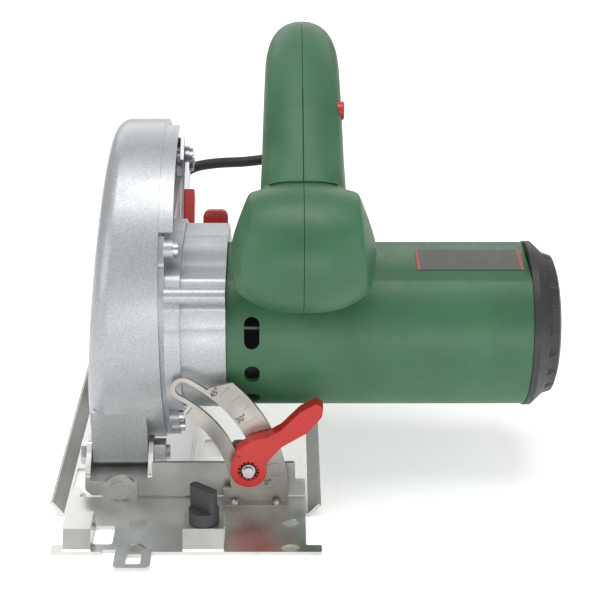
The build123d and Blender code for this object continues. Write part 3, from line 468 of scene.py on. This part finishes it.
nickel = satin_nickel("satin_nickel", (0.36, 0.34, 0.31), (0.52, 0.50, 0.46))
fit_up(rounded_copy("quadrant_plate", "bevel_quadrant", 0.18 * MM, 1), nickel, "sole")
repaint("quadrant_rivets", nickel)

joints = {joint["name"]: joint for joint in frame["joints"]}
bevel_axis = Vector(joints["bevel_tilt"]["pos_m"])
# The numerals get a much darker nickel than the plate: painted shade that stands in for the shading
# of their low embossed relief.
numeral_painted_shade_nickel = satin_nickel("numeral_painted_shade_nickel", (0.10, 0.095, 0.085), (0.16, 0.15, 0.14))
SCALE_RADIUS = 80.0 * MM
NUMERAL_HEIGHT = 4.4 * MM
NUMERAL_FACE = -88.25 * MM
for degrees_shown in (0, 15, 30, 45):
    numerals = bpy.data.curves.new(f"scale_{degrees_shown}", "FONT")
    numerals.body = f"{degrees_shown}°"
    numerals.size = NUMERAL_HEIGHT
    numerals.extrude = 0.16 * MM
    numerals.bevel_depth = 0.05 * MM
    numerals.align_x = "CENTER"
    numerals.align_y = "CENTER"
    flat_text = bpy.data.objects.new(f"scale_text_{degrees_shown}", numerals)
    bpy.context.scene.collection.objects.link(flat_text)
    bpy.context.view_layer.update()
    embossed = bpy.data.meshes.new_from_object(
        flat_text.evaluated_get(bpy.context.evaluated_depsgraph_get()))
    bpy.data.objects.remove(flat_text)
    lean = radians(5.1 + 0.98 * degrees_shown)
    stand = Matrix.Translation((bevel_axis.x + SCALE_RADIUS * cos(lean), NUMERAL_FACE,
                                bevel_axis.z + SCALE_RADIUS * sin(lean)))
    embossed.transform(stand @ Matrix.Rotation(-lean, 4, "Y") @ Matrix.Rotation(pi / 2, 4, "X"))
    numeral_piece = bpy.data.objects.new(f"scale_numeral_{degrees_shown}", embossed)
    bpy.context.scene.collection.objects.link(numeral_piece)
    fit_up(numeral_piece, numeral_painted_shade_nickel, "sole")


# ---- Guide bar knob --------------------------------------------------------------------------
# A black nylon wing knob that clamps the parallel guide's bar under the lanced strap.
def moulded_plastic(name, colour, dusty, gloss=(0.42, 0.56), grain=0.00045, grain_depth=0.00008,
                    grain_strength=0.35):
    """Moulded plastic with spark-eroded grain, faint flow clouds and handled, glossier patches."""
    made = Finish(name, Metallic=0.0, Specular_IOR_Level=0.5)
    here = made.place()
    flow = made.noise(here, 0.040, 3.0)
    dust = made.noise(here, 0.0042, 5.0, 0.65)
    fine = made.noise(here, grain, 2.0, 0.6)
    tone = made.blend(made.span(flow, 0.0, 1.0, 0.3, 0.7), colour, dusty)
    tone = made.blend(made.span(fine, 0.0, 0.16, 0.35, 0.7), tone, dusty)
    made.wear("Base Color", tone)
    made.wear("Roughness", made.span(dust, *gloss, 0.3, 0.7))
    made.wear("Normal", made.relief(fine, grain_depth, grain_strength))
    return made.material


black_nylon = moulded_plastic("black_nylon", (0.020, 0.020, 0.022), (0.034, 0.034, 0.036))
fit_up(rounded_copy("wing_knob", "guide_knob", 0.5 * MM), black_nylon,
       "guide_knob")


# ---- Bevel frame -----------------------------------------------------------------------------
# Two zinc-plated brackets that tilt on the sole: the front one holds the depth bolt in its yoke and
# the bevel clamp bolt, the rear one is the long arc that the depth clamp runs along.
fit_up(rounded_copy("yoke_bracket", "front_bracket", 0.35 * MM), sheet_zinc, "bevel_frame")
# The arc gets a much darker zinc than the sole: painted shade, standing in for the shade the arc
# lies in behind the guard.
painted_shade_zinc = bright_zinc("arc_zinc_painted_shade", (0.20, 0.20, 0.22), (0.40, 0.40, 0.43))
fit_up(rounded_copy("depth_arc", "depth_arc_bracket", 0.3 * MM), painted_shade_zinc, "bevel_frame")


def plated_steel(name, axis_turn=(0, 0, 0)):
    """Zinc-plated hardware: bright, slightly blue, with turning marks and rubbed spots."""
    made = Finish(name, Metallic=1.0)
    here = made.place(turn=axis_turn)
    cloud = made.noise(here, 0.005, 4.0)
    turned = made.noise(made.place(turn=axis_turn, stretch=(1, 0.1, 0.1)), 0.0004, 2.0)
    made.wear("Base Color", made.blend(made.span(cloud, 0.0, 1.0, 0.3, 0.7),
                                       (0.50, 0.51, 0.52), (0.74, 0.75, 0.76)))
    made.wear("Roughness", made.span(cloud, 0.20, 0.36, 0.3, 0.7))
    made.wear("Normal", made.relief(turned, 0.00004, 0.25))
    return made.material


hardware = plated_steel("plated_hardware")
for name, node in (("depth_bolt", "depth_pivot_bolt"), ("depth_nut", "depth_pivot_nut")):
    fit_up(rounded_copy(name, node, 0.3 * MM), hardware, "bevel_frame")
for fastener in ("bevel_clamp_bolt", "bevel_clamp_spacer", "guard_screws", "handle_screws",
                 "depth_clamp_bolt"):
    repaint(fastener, hardware)


# ---- Bevel lever -----------------------------------------------------------------------------
# A red glass-filled nylon lever on the clamp bolt, with a toothed washer and a socket screw sunk in
# a scalloped recess.
red_nylon = moulded_plastic("red_nylon", (0.46, 0.014, 0.011), (0.58, 0.030, 0.022),
                            gloss=(0.26, 0.40), grain_depth=0.00005, grain_strength=0.25)
fit_up(rounded_copy("clamp_lever", "bevel_lever", 0.9 * MM, 3), red_nylon,
       "bevel_lever")


class Nodes:
    """A Geometry Nodes tree in the making, with named inputs."""

    def __init__(self, name):
        self.tree = bpy.data.node_groups.new(name, "GeometryNodeTree")
        self.tree.interface.new_socket("Geometry", in_out="OUTPUT",
                                       socket_type="NodeSocketGeometry")
        self.inputs = {}
        self.group_in = self.tree.nodes.new("NodeGroupInput")
        self.group_out = self.tree.nodes.new("NodeGroupOutput")

    def size(self, name, kind, value):
        """A named input; returns its link source."""
        socket = self.tree.interface.new_socket(name, in_out="INPUT",
                                                socket_type="NodeSocket" + kind)
        socket.default_value = value
        self.inputs[name] = socket.identifier
        return self.group_in.outputs[name]

    def add(self, kind, settings=None, **sockets):
        """Any node: its settings first, then the values or links of its named sockets."""
        made = self.tree.nodes.new(kind)
        for key, value in (settings or {}).items():
            setattr(made, key, value)
        for name, value in sockets.items():
            slot = made.inputs[name.replace("_", " ")]
            if isinstance(value, bpy.types.NodeSocket):
                self.tree.links.new(value, slot)
            else:
                slot.default_value = value
        return made

    def piece(self, name, geometry, material, values):
        """Realizes the tree, with its inputs set by identifier, as a plain mesh piece."""
        real = self.add("GeometryNodeRealizeInstances", Geometry=geometry)
        painted = self.add("GeometryNodeSetMaterial", Geometry=real.outputs[0], Material=material)
        self.tree.links.new(painted.outputs[0], self.group_out.inputs[0])
        holder = bpy.data.objects.new(name + "_source", bpy.data.meshes.new(name + "_source"))
        bpy.context.scene.collection.objects.link(holder)
        modifier = holder.modifiers.new("shape", "NODES")
        modifier.node_group = self.tree
        for key, value in values.items():
            modifier[self.inputs[key]] = value
        bpy.context.view_layer.update()
        mesh = bpy.data.meshes.new_from_object(
            holder.evaluated_get(bpy.context.evaluated_depsgraph_get()))
        bpy.data.objects.remove(holder)
        made = bpy.data.objects.new(name, mesh)
        bpy.context.scene.collection.objects.link(made)
        return made


def ring_tree(name):
    """Blocks set round the X axis: Count blocks of Size at Radius, each turned by Twist."""
    build = Nodes(name)
    count = build.size("Count", "Int", 8)
    radius = build.size("Radius", "Float", 0.01)
    size = build.size("Size", "Vector", (0.001, 0.001, 0.001))
    middle = build.size("Middle", "Vector", (0.0, 0.0, 0.0))
    twist = build.size("Twist", "Float", 0.0)
    start = build.size("Start", "Float", 0.0)
    block = build.add("GeometryNodeMeshCube", Size=size)
    line = build.add("GeometryNodeMeshLine", Count=count, Offset=(0.0, 0.0, 0.0))
    index = build.add("GeometryNodeInputIndex")
    per_turn = build.add("ShaderNodeMath", {"operation": "DIVIDE"})
    per_turn.inputs[0].default_value = 2 * pi
    build.tree.links.new(count, per_turn.inputs[1])
    angle = build.add("ShaderNodeMath", {"operation": "MULTIPLY_ADD"})
    build.tree.links.new(index.outputs[0], angle.inputs[0])
    build.tree.links.new(per_turn.outputs[0], angle.inputs[1])
    build.tree.links.new(start, angle.inputs[2])
    cosine = build.add("ShaderNodeMath", {"operation": "COSINE"})
    sine = build.add("ShaderNodeMath", {"operation": "SINE"})
    for wave in (cosine, sine):
        build.tree.links.new(angle.outputs[0], wave.inputs[0])
    spoke = build.add("ShaderNodeCombineXYZ", Y=cosine.outputs[0], Z=sine.outputs[0])
    reach = build.add("ShaderNodeVectorMath", {"operation": "SCALE"})
    build.tree.links.new(spoke.outputs[0], reach.inputs[0])
    build.tree.links.new(radius, reach.inputs["Scale"])
    spot = build.add("ShaderNodeVectorMath", {"operation": "ADD"})
    build.tree.links.new(reach.outputs[0], spot.inputs[0])
    build.tree.links.new(middle, spot.inputs[1])
    placed = build.add("GeometryNodeSetPosition", Geometry=line.outputs[0],
                       Position=spot.outputs[0])
    whole_turn = build.add("ShaderNodeMath", {"operation": "ADD"})
    build.tree.links.new(angle.outputs[0], whole_turn.inputs[0])
    build.tree.links.new(twist, whole_turn.inputs[1])
    facing = build.add("ShaderNodeCombineXYZ", X=whole_turn.outputs[0])
    copies = build.add("GeometryNodeInstanceOnPoints", Points=placed.outputs[0],
                       Instance=block.outputs[0], Rotation=facing.outputs[0])
    return build, copies.outputs[0]


def ring_of(name, count, radius, size, middle, material, twist=0.0, start=0.0):
    """A plain mesh of blocks set round the X axis through middle."""
    build, copies = ring_tree(name + "_tree")
    return build.piece(name, copies, material, {"Count": count, "Radius": radius, "Size": size,
                                                "Middle": middle, "Twist": twist, "Start": start})


def about_y(piece, middle):
    """Turns a ring made round X so that it stands round Y, about its middle."""
    quarter = Matrix.Rotation(pi / 2, 4, "Z")
    piece.data.transform(Matrix.Translation(middle) @ quarter
                         @ Matrix.Translation(-Vector(middle)))
    return piece


clamp_middle = Vector(joints["bevel_lever_turn"]["pos_m"])
SCREW_FOOT = -91.6 * MM
SCREW_PROFILE = [(0.0, 5.2), (0.6, 5.4), (1.0, 5.4), (1.2, 3.9), (4.2, 3.9), (4.8, 3.5),
                 (4.8, 2.2), (2.4, 2.0), (2.4, 0.6)]
socket_screw = lathe("lever_screw", (clamp_middle.x, SCREW_FOOT, clamp_middle.z), (0, -1, 0),
                     [(s * MM, r * MM) for s, r in SCREW_PROFILE])
crease(socket_screw, 0.12 * MM)
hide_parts("bevel_lever_nut")
fit_up(socket_screw, hardware, "bevel_lever")
SCALLOPS, SCALLOP_RADIUS = 14, 5.15 * MM
scallop_middle = (clamp_middle.x, -95.6 * MM, clamp_middle.z)
scallops = ring_of("lever_scallops", SCALLOPS, SCALLOP_RADIUS, (1.6 * MM, 1.5 * MM, 1.1 * MM),
                   scallop_middle, red_nylon)
about_y(scallops, scallop_middle)
fit_up(crease(scallops, 0.3 * MM), red_nylon, "bevel_lever")


# ---- Upper guard and gear housing ------------------------------------------------------------
# Die-cast light alloy in silver metallic paint. The guard is one shell round the upper half of the
# blade; the gear housing is screwed to its right edge.
def silver_paint(name):
    """Silver metallic paint: fine flake, light orange peel, and a little grime in patches."""
    made = Finish(name, Coat_Roughness=0.22)
    here = made.place()
    flake = made.cells(here, 0.00034, out="Color")
    peel = made.noise(here, 0.0016, 2.0)
    grime = made.noise(here, 0.024, 5.0, 0.62)
    tone = made.blend(made.along(flake, 0), (0.33, 0.345, 0.36), (0.50, 0.515, 0.53))
    tone = made.blend(made.span(grime, 0.0, 0.30, 0.55, 0.85), tone, (0.30, 0.30, 0.29))
    made.wear("Base Color", tone)
    made.wear("Metallic", made.span(made.along(flake, 1), 0.35, 0.65))
    made.wear("Roughness", made.span(grime, 0.34, 0.48, 0.3, 0.75))
    made.wear("Coat Weight", made.span(grime, 0.35, 0.15, 0.4, 0.8))
    made.wear("Normal", made.relief(peel, 0.00010, 0.30))
    return made.material


silver = silver_paint("silver_metallic_paint")
fit_up(rounded_copy("guard_shell", "upper_guard", 0.7 * MM, 3), silver,
       "saw_body")
fit_up(rounded_copy("gear_case", "gear_housing", 1.0 * MM, 3), silver, "saw_body")


# ---- Motor -----------------------------------------------------------------------------------
# A green glass-filled nylon field case with cooling slots, closed by a black end cap. A blank
# film label lies on its flat top.
green_nylon = moulded_plastic("green_nylon", (0.024, 0.100, 0.042), (0.042, 0.142, 0.066),
                              gloss=(0.38, 0.50), grain=0.00055, grain_depth=0.00010,
                              grain_strength=0.45)
fit_up(rounded_copy("field_case", "motor_housing", 0.45 * MM), green_nylon,
       "saw_body")
fit_up(rounded_copy("end_cap", "motor_end_cap", 0.6 * MM), black_nylon, "saw_body")

film = Finish("label_film", Metallic=0.0, Specular_IOR_Level=0.5)
film_low, film_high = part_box("rating_plate")
film_here = film.place(centre=(film_low + film_high) / 2)
film_x = film.along(film_here, 0)
film_dust = film.noise(film_here, 0.006, 4.0)
FILM_PLAIN_HALF = 0.0265                 # beyond it, each end has a red line
film_band = (film_x > FILM_PLAIN_HALF) + (film_x < -FILM_PLAIN_HALF)
film.wear("Base Color", film.blend(film_band, (0.050, 0.052, 0.036), (0.34, 0.040, 0.028)))
film.wear("Roughness", film.span(film_dust, 0.26, 0.42, 0.3, 0.7))
film.wear("Normal", film.relief(film_dust, 0.00004, 0.2))
repaint("rating_plate", film.material)


# ---- Handle ----------------------------------------------------------------------------------
# Two green nylon shells that meet on a parting line: a round front grip, a thick arm over the
# motor and a closed rear loop. They are drawn with the saw at full depth, then swung up.
saw_pivot = Vector(joints["depth_swing"]["pos_m"])
SWUNG = radians(41.0)
SWING_UP = (Matrix.Translation(saw_pivot) @ Matrix.Rotation(SWUNG, 4, "X")
            @ Matrix.Translation(-saw_pivot))
SWING_DOWN = SWING_UP.inverted()
PARTING_X = 59.5
# Stations round the loop: outer point, inner point (Y, Z), half width.
handle_stations = [
    ((60, 142), (56, 104), 21.5), ((90, 136), (82, 103), 21.0), ((120, 128), (106, 99), 20.5),
    ((145, 117.5), (122, 91), 20.0), ((161, 106), (130, 83), 18.6), ((170, 89), (134, 74), 17.6),
    ((168, 70), (133, 64), 17.8), ((158, 50), (128, 54), 18.8), ((146, 32), (119, 45), 20.5),
    ((132, 16), (108, 41), 21.0), ((110, 12), (98, 39), 21.5), ((84, 14), (84, 40), 22.0),
    ((52, 22), (70, 43), 22.0), ((30, 50), (57, 52), 22.0), ((-6, 88), (50, 66), 22.0),
    ((-20, 112), (46, 80), 22.0), ((-8, 140), (46, 94), 22.0), ((16, 150), (50, 103), 22.0)]
GRIP_CURVE, FRONT_CURVE = 2.2, 4.0       # roundness of the sections: 2 is an ellipse
SPANS_BETWEEN = 6
AROUND = 56


def blended(stations, index, t):
    """Catmull-Rom between station index and the next, round a closed loop."""
    p0, p1, p2, p3 = (stations[(index + k) % len(stations)] for k in (-1, 0, 1, 2))
    return [0.5 * (2 * b + (c - a) * t + (2 * a - 5 * b + 4 * c - d) * t * t
                   + (3 * b - a - 3 * c + d) * t ** 3) for a, b, c, d in zip(p0, p1, p2, p3)]


FRONT_PART = 60                          # stations further forward have squarer sections
flat_stations = [(*outer, *inner, half, FRONT_CURVE if outer[0] < FRONT_PART else GRIP_CURVE)
                 for outer, inner, half in handle_stations]
loop_rings = []
for index in range(len(flat_stations)):
    for step in range(SPANS_BETWEEN):
        oy, oz, iy, iz, half_width, power = blended(flat_stations, index, step / SPANS_BETWEEN)
        centre = Vector((PARTING_X, (oy + iy) / 2, (oz + iz) / 2))
        reach = Vector((0, oy - iy, oz - iz)) / 2
        loop_rings.append([centre + reach * a + Vector((b, 0, 0))
                           for a, b in oval(AROUND, 1, half_width, power)])
handle_core = skin("handle_core", loop_rings, True)

GRIP_MIDDLE = Vector((PARTING_X, -87.0, 148.0))
GRIP_R, GRIP_END = 32.2, 36.5
# Half width and radius of the shoulder, then how round the barrel and its blunt end are.
SHOULDER_TOP, SHOULDER_FOOT = (27.0, 28.0, 2.0, 1.3), (33.0, 22.0, 2.9, 1.6)
GRIP_STEPS = 16


def grip_point(share, angle):
    """The front grip's surface: a barrel from its middle to a shoulder, then a blunt end."""
    low = (1 - sin(angle)) / 2
    shoulder, shoulder_r, barrel, blunt = (a + (b - a) * low
                                           for a, b in zip(SHOULDER_TOP, SHOULDER_FOOT))
    away = min(abs(share), 1.999)
    if away <= 1:
        x = shoulder * away
        r = GRIP_R - (GRIP_R - shoulder_r) * away ** barrel
    else:
        r = shoulder_r * (2 - away)
        x = shoulder + (GRIP_END - shoulder) * (1 - (r / shoulder_r) ** blunt)
    return GRIP_MIDDLE + Vector((copysign(x, share), r * cos(angle), r * sin(angle)))


grip_rings = [[grip_point(step / GRIP_STEPS * 2, 2 * pi * i / AROUND) for i in range(AROUND)]
              for step in range(-GRIP_STEPS, GRIP_STEPS + 1)]
front_grip = skin("front_grip", grip_rings, False)
front_grip.data.transform(SWING_DOWN)


def settled(piece):
    """Makes a piece's modifiers final."""
    bpy.context.view_layer.update()
    shape = bpy.data.meshes.new_from_object(
        piece.evaluated_get(bpy.context.evaluated_depsgraph_get()))
    piece.modifiers.clear()
    piece.data = shape
    return piece


def joined(name, parts):
    """Several meshes as one piece."""
    form = bmesh.new()
    for part in parts:
        form.from_mesh(part.data)
        bpy.data.objects.remove(part)
    mesh = bpy.data.meshes.new(name)
    form.to_mesh(mesh)
    form.free()
    made = bpy.data.objects.new(name, mesh)
    bpy.context.scene.collection.objects.link(made)
    return made


def carved(piece, *cutters, operation="DIFFERENCE"):
    """Cuts one piece with others, which are used up."""
    for cutter in cutters:
        cut = piece.modifiers.new(cutter.name, "BOOLEAN")
        cut.operation = operation
        cut.solver = "EXACT"
        cut.object = cutter
    settled(piece)
    for cutter in cutters:
        bpy.data.objects.remove(cutter)
    return piece


def prism(name, side, x0, x1):
    """A block whose side view is given in millimetres (Y, Z)."""
    return skin(name, [[Vector((x, y, z)) for y, z in side] for x in (x0, x1)], False)


def rod(name, radius, x0, x1, at, around=48):
    """A round bar along X."""
    side = [(at[0] + radius * cos(2 * pi * i / around), at[1] + radius * sin(2 * pi * i / around))
            for i in range(around)]
    return prism(name, side, x0, x1)


handle_form = joined("handle_form", [handle_core, front_grip])
melted = handle_form.modifiers.new("one_skin", "REMESH")
melted.mode = "VOXEL"
melted.voxel_size = 1.5 * MM
melted.use_smooth_shade = True
softened = handle_form.modifiers.new("softened", "SMOOTH")
softened.factor = 0.5
softened.iterations = 4
settled(handle_form)
handle_skin = BVHTree.FromPolygons([v.co for v in handle_form.data.vertices],
                                   [p.vertices for p in handle_form.data.polygons])
motor_middle = SWING_DOWN @ Vector(joints["armature_spin"]["pos_m"])
MOTOR_ROOM_R, SWITCH_HALF, CORD_ROOM_R = 44.35, 11.0, 5.7
motor_room = rod("motor_room", MOTOR_ROOM_R, 0, 200,
                 (motor_middle.y / MM, motor_middle.z / MM), 128)
switch_side = [(93, 127), (117, 121), (132, 112), (144, 100), (147, 88), (140, 82), (132, 96),
               (122, 105), (94, 112)]
switch_room = prism("switch_room", switch_side, PARTING_X - SWITCH_HALF, PARTING_X + SWITCH_HALF)
cord_room = lathe("cord_room", SWING_DOWN @ (cord_exit - relief_way * 60 * MM),
                  SWING_DOWN.to_3x3() @ relief_way,
                  [(0, CORD_ROOM_R * MM), (75 * MM, CORD_ROOM_R * MM)], 32)
carved(handle_form, joined("rooms", [motor_room, switch_room, cord_room]))
TRIGGER_AT, TRIGGER_WAY = (126.95, 88.9), radians(52.0)
SLOT_WIDE, SLOT_THICK = 7.4, 6.4         # half sizes of the trigger's slot
press = (cos(TRIGGER_WAY), sin(TRIGGER_WAY))
slot_side = [(TRIGGER_AT[0] + s * press[0] + w * press[1],
              TRIGGER_AT[1] + s * press[1] - w * press[0])
             for s, w in ((-9, -SLOT_WIDE), (-9, SLOT_WIDE), (18, SLOT_WIDE), (18, -SLOT_WIDE))]
HANDLE_SCREWS = [(80.0, 110.5), (148.0, 61.0), (106.0, 26.0), (70.0, 26.0), (14.0, 110.0)]
LOCK_OFF_AT = (92.0, 122.0)
SCREW_HOLE_R, LOCK_OFF_HOLE_R = 4.0, 5.3
holes = [prism("trigger_slot", slot_side, PARTING_X - SLOT_THICK, PARTING_X + SLOT_THICK)]
holes += [rod("screw_recess", SCREW_HOLE_R, PARTING_X + 17.0, 100, at, 32)
          for at in HANDLE_SCREWS]
holes.append(rod("lock_off_hole", LOCK_OFF_HOLE_R, PARTING_X + 7, 100, LOCK_OFF_AT, 64))
carved(handle_form, joined("holes", holes))
FAR = 400.0
PARTING_GAP = 0.13
for side, name, node in ((-1, "handle_shell_left", "handle_left"),
                         (1, "handle_shell_right", "handle_right")):
    shell = bpy.data.objects.new(name, handle_form.data.copy())
    bpy.context.scene.collection.objects.link(shell)
    near, far = PARTING_X + side * PARTING_GAP, PARTING_X + side * FAR
    half_space = prism("half_space", [(-FAR, -FAR), (FAR, -FAR), (FAR, FAR), (-FAR, FAR)],
                       min(near, far), max(near, far))
    carved(shell, half_space, operation="INTERSECT")
    shell.data.transform(SWING_UP)
    crease(shell, 0.45 * MM, 2, 50.0)
    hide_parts(node)
    fit_up(shell, green_nylon, "saw_body")
bpy.data.objects.remove(handle_form)

# A raised pad on top of the arm, in two halves that follow the skin.
PANEL_HALF, PANEL_START, PANEL_END, PANEL_CORNER = 16.8, 33.0, 98.0, 8.0
PANEL_RISE, PANEL_ROOT = 0.8, 0.5
PANEL_ROWS, PANEL_COLUMNS = 60, 14
for side in (-1, 1):
    points, faces = [], []
    for row in range(PANEL_ROWS + 1):
        along_arm = PANEL_START + (PANEL_END - PANEL_START) * sin(pi / 2 * row / PANEL_ROWS)
        into_corner = max(0.0, along_arm - (PANEL_END - PANEL_CORNER))
        half = PANEL_HALF - PANEL_CORNER + sqrt(max(0.0, PANEL_CORNER ** 2 - into_corner ** 2))
        for column in range(PANEL_COLUMNS + 1):
            x = PARTING_X + side * (0.35 + (half - 0.35) * column / PANEL_COLUMNS)
            hit = handle_skin.ray_cast(Vector((x, along_arm, 260.0)) * MM, Vector((0, 0, -1)))[0]
            points.append(hit - Vector((0, 0, PANEL_ROOT * MM)))
    for row in range(PANEL_ROWS):
        for column in range(PANEL_COLUMNS):
            a = row * (PANEL_COLUMNS + 1) + column
            b = a + PANEL_COLUMNS + 1
            faces.append((a, a + 1, b + 1, b) if side > 0 else (a, b, b + 1, a + 1))
    panel = piece_from(f"grip_panel_{'right' if side > 0 else 'left'}", points, faces)
    thick = panel.modifiers.new("thick", "SOLIDIFY")
    thick.thickness = (PANEL_ROOT + PANEL_RISE) * MM
    thick.offset = 1.0
    crease(panel, 0.3 * MM, 2, 50.0)
    settled(panel)
    panel.data.transform(SWING_UP)
    fit_up(panel, green_nylon, "saw_body")


# ---- Trigger and buttons ---------------------------------------------------------------------
# Red nylon pieces that a finger works: the trigger in the loop, the lock-off button beside it, the
# spindle lock on the gear case and the lower guard's retracting lever. The depth clamp's lever is
# a zinc-plated arm with a red cap pushed on its end.
for name, node, width, body in (("trigger_blade", "trigger", 1.1, "trigger"),
                                ("lock_off_cap", "lock_off_button", 0.9, "lock_off"),
                                ("spindle_lock_cap", "spindle_lock", 0.7, "spindle_lock"),
                                ("retracting_lever", "retract_lever", 1.4, "lower_guard")):
    fit_up(rounded_copy(name, node, width * MM, 3), red_nylon, body)
# The clamp arm shares the arc's darkened zinc, which is painted shade.
fit_up(rounded_copy("depth_clamp_arm", "depth_lever", 0.4 * MM), painted_shade_zinc,
       "depth_lever")
depth_clamp = Vector(joints["depth_lever_turn"]["pos_m"]) / MM
ARM_TURN = radians(217.0)
cap_side = [(depth_clamp.y + a * cos(ARM_TURN) - b * sin(ARM_TURN),
             depth_clamp.z + a * sin(ARM_TURN) + b * cos(ARM_TURN))
            for a, b in ((24, -4.4), (24, 6.6), (35, 9.0), (46.5, 10.3), (48.4, 9.4),
                         (49.6, 3.2), (48.6, 1.8), (36, -1.4))]
lever_cap = prism("depth_lever_cap", cap_side, -10.02, -3.6)
fit_up(crease(lever_cap, 1.1 * MM, 3), red_nylon, "depth_lever")


# ---- Saw blade and lower guard ---------------------------------------------------------------
# A ground steel blade with brazed carbide tips, held between two flanges. The swinging lower guard
# is cast in bare light alloy, and a flat coil spring pulls it shut.
def turned_steel(name, middle, dark, light, gloss, ring_size=0.0007):
    """Steel ground or turned about an X axis: fine rings, soft stains and handling marks."""
    made = Finish(name, Metallic=1.0)
    here = made.place(centre=middle, stretch=(0, 1, 1))
    out = made.node("VectorMath", {"operation": "LENGTH"}, {0: here}, out="Value")
    rings = made.node("TexNoise", {"noise_dimensions": "1D"}, {"W": out / ring_size, "Detail": 3.0})
    stain = made.noise(made.place(), 0.014, 5.0, 0.6)
    made.wear("Base Color", made.blend(made.span(stain, 0.0, 1.0, 0.3, 0.75), light, dark))
    made.wear("Roughness", made.span(rings, *gloss, 0.3, 0.7)
              + made.span(stain, 0.0, 0.1, 0.5, 0.8))
    made.wear("Normal", made.relief(rings, 0.00003, 0.35))
    return made.material


arbor = Vector(joints["spindle_spin"]["pos_m"])
ground_steel = turned_steel("ground_blade_steel", arbor, (0.40, 0.40, 0.39), (0.62, 0.62, 0.61),
                            (0.22, 0.36))
shaft_steel = turned_steel("turned_shaft_steel", arbor, (0.36, 0.36, 0.37), (0.56, 0.56, 0.57),
                           (0.24, 0.34))
repaint("saw_blade", ground_steel)
for node in ("spindle", "spindle_gear", "inner_flange", "outer_flange", "spindle_bearing"):
    repaint(node, shaft_steel)
fit_up(rounded_copy("blade_screw", "blade_bolt", 0.35 * MM), hardware, "spindle")

carbide = Finish("carbide", Metallic=0.9, Specular_IOR_Level=0.5)
carbide_grain = carbide.noise(carbide.place(), 0.0006, 3.0)
carbide.wear("Base Color", carbide.blend(carbide_grain, (0.22, 0.22, 0.23), (0.36, 0.36, 0.37)))
carbide.wear("Roughness", carbide.span(carbide_grain, 0.30, 0.48, 0.3, 0.7))
carbide.wear("Normal", carbide.relief(carbide_grain, 0.00002, 0.3))
TEETH = 24
BLADE_PLANE = -27.0 * MM
TIP_RADIUS, TOOTH_LEAD = 80.2, 0.175
tips = ring_of("carbide_tips", TEETH, TIP_RADIUS * MM, (2.4 * MM, 4.2 * MM, 1.6 * MM),
               (BLADE_PLANE, arbor.y, arbor.z), carbide.material,
               start=TOOTH_LEAD * 2 * pi / TEETH)
fit_up(crease(tips, 0.15 * MM, 1), carbide.material, "spindle")


def cast_alloy(name, dark, light):
    """Bare die-cast alloy: mottled casting skin, flow marks and rubbed bright spots."""
    made = Finish(name, Metallic=1.0)
    here = made.place()
    mottle = made.noise(here, 0.007, 5.0, 0.6)
    pits = made.cells(here, 0.0011)
    made.wear("Base Color", made.blend(made.span(mottle, 0.0, 1.0, 0.3, 0.72), dark, light))
    made.wear("Roughness", made.span(mottle, 0.50, 0.34, 0.3, 0.7))
    made.wear("Normal", made.relief(pits, 0.00008, 0.25))
    return made.material


bare_alloy = cast_alloy("bare_cast_alloy", (0.44, 0.44, 0.43), (0.62, 0.62, 0.61))
fit_up(rounded_copy("swinging_guard", "lower_guard", 0.4 * MM), bare_alloy,
       "lower_guard")
spring_steel = turned_steel("spring_steel", arbor, (0.20, 0.20, 0.22), (0.36, 0.37, 0.40),
                            (0.26, 0.42), 0.0016)
repaint("guard_spring", spring_steel)


# ---- Gear train ------------------------------------------------------------------------------
# Hardened steel gears on two shafts behind the motor. A cast bearing plate closes the case.
repaint("bearing_plate", bare_alloy)
inter_middle = Vector(joints["intermediate_spin"]["pos_m"])
gear_steel = turned_steel("hardened_gear_steel", inter_middle, (0.26, 0.26, 0.27),
                          (0.42, 0.42, 0.44), (0.26, 0.40))
for node in ("intermediate_gear", "intermediate_shaft"):
    repaint(node, gear_steel)
sintered_bronze = cast_alloy("sintered_bronze", (0.42, 0.27, 0.13), (0.56, 0.38, 0.20))
repaint("intermediate_bush", sintered_bronze)


# ---- Motor's inner pieces --------------------------------------------------------------------
# Stacked steel laminations, copper windings in enamel, a copper commutator with carbon brushes in
# brass holders, a grey nylon fan, and the ball bearings of the armature shaft.
rotor_middle = Vector(joints["armature_spin"]["pos_m"])
rotor_steel = turned_steel("rotor_steel", rotor_middle, (0.40, 0.40, 0.41), (0.58, 0.58, 0.59),
                           (0.22, 0.34))
for node in ("armature_shaft", "armature_front_bearing", "armature_rear_bearing", "brush_springs"):
    repaint(node, rotor_steel)


def striped_metal(name, dark, light, pitch, metallic=1.0):
    """Metal in thin layers or wires that lie side by side along X."""
    made = Finish(name, Metallic=metallic)
    here = made.place()
    wave = (made.along(here, 0) * (2 * pi / pitch)).combine("SINE")
    cloud = made.noise(here, 0.005, 3.0)
    made.wear("Base Color", made.blend(made.span(wave, 0.0, 0.7, -1.0, 1.0) + cloud * 0.3,
                                       dark, light))
    made.wear("Roughness", made.span(cloud, 0.28, 0.46, 0.3, 0.7))
    made.wear("Normal", made.relief(wave, 0.00008, 0.4))
    return made.material


laminations = striped_metal("stacked_laminations", (0.14, 0.14, 0.15), (0.34, 0.34, 0.35),
                            0.0010)
for node in ("stator_core", "armature_core"):
    repaint(node, laminations)
enamelled_copper = striped_metal("enamelled_copper", (0.30, 0.09, 0.03), (0.62, 0.25, 0.09),
                                 0.0012)
for node in ("stator_windings", "armature_windings", "commutator"):
    repaint(node, enamelled_copper)
repaint("carbon_brushes", carbide.material)
yellow_brass = cast_alloy("yellow_brass", (0.55, 0.38, 0.14), (0.74, 0.56, 0.25))
for node in ("brush_holders", "plug_pins"):
    repaint(node, yellow_brass)
grey_nylon = moulded_plastic("grey_nylon", (0.16, 0.165, 0.17), (0.22, 0.225, 0.23))
repaint("cooling_fan", grey_nylon)
repaint("switch_body", black_nylon)
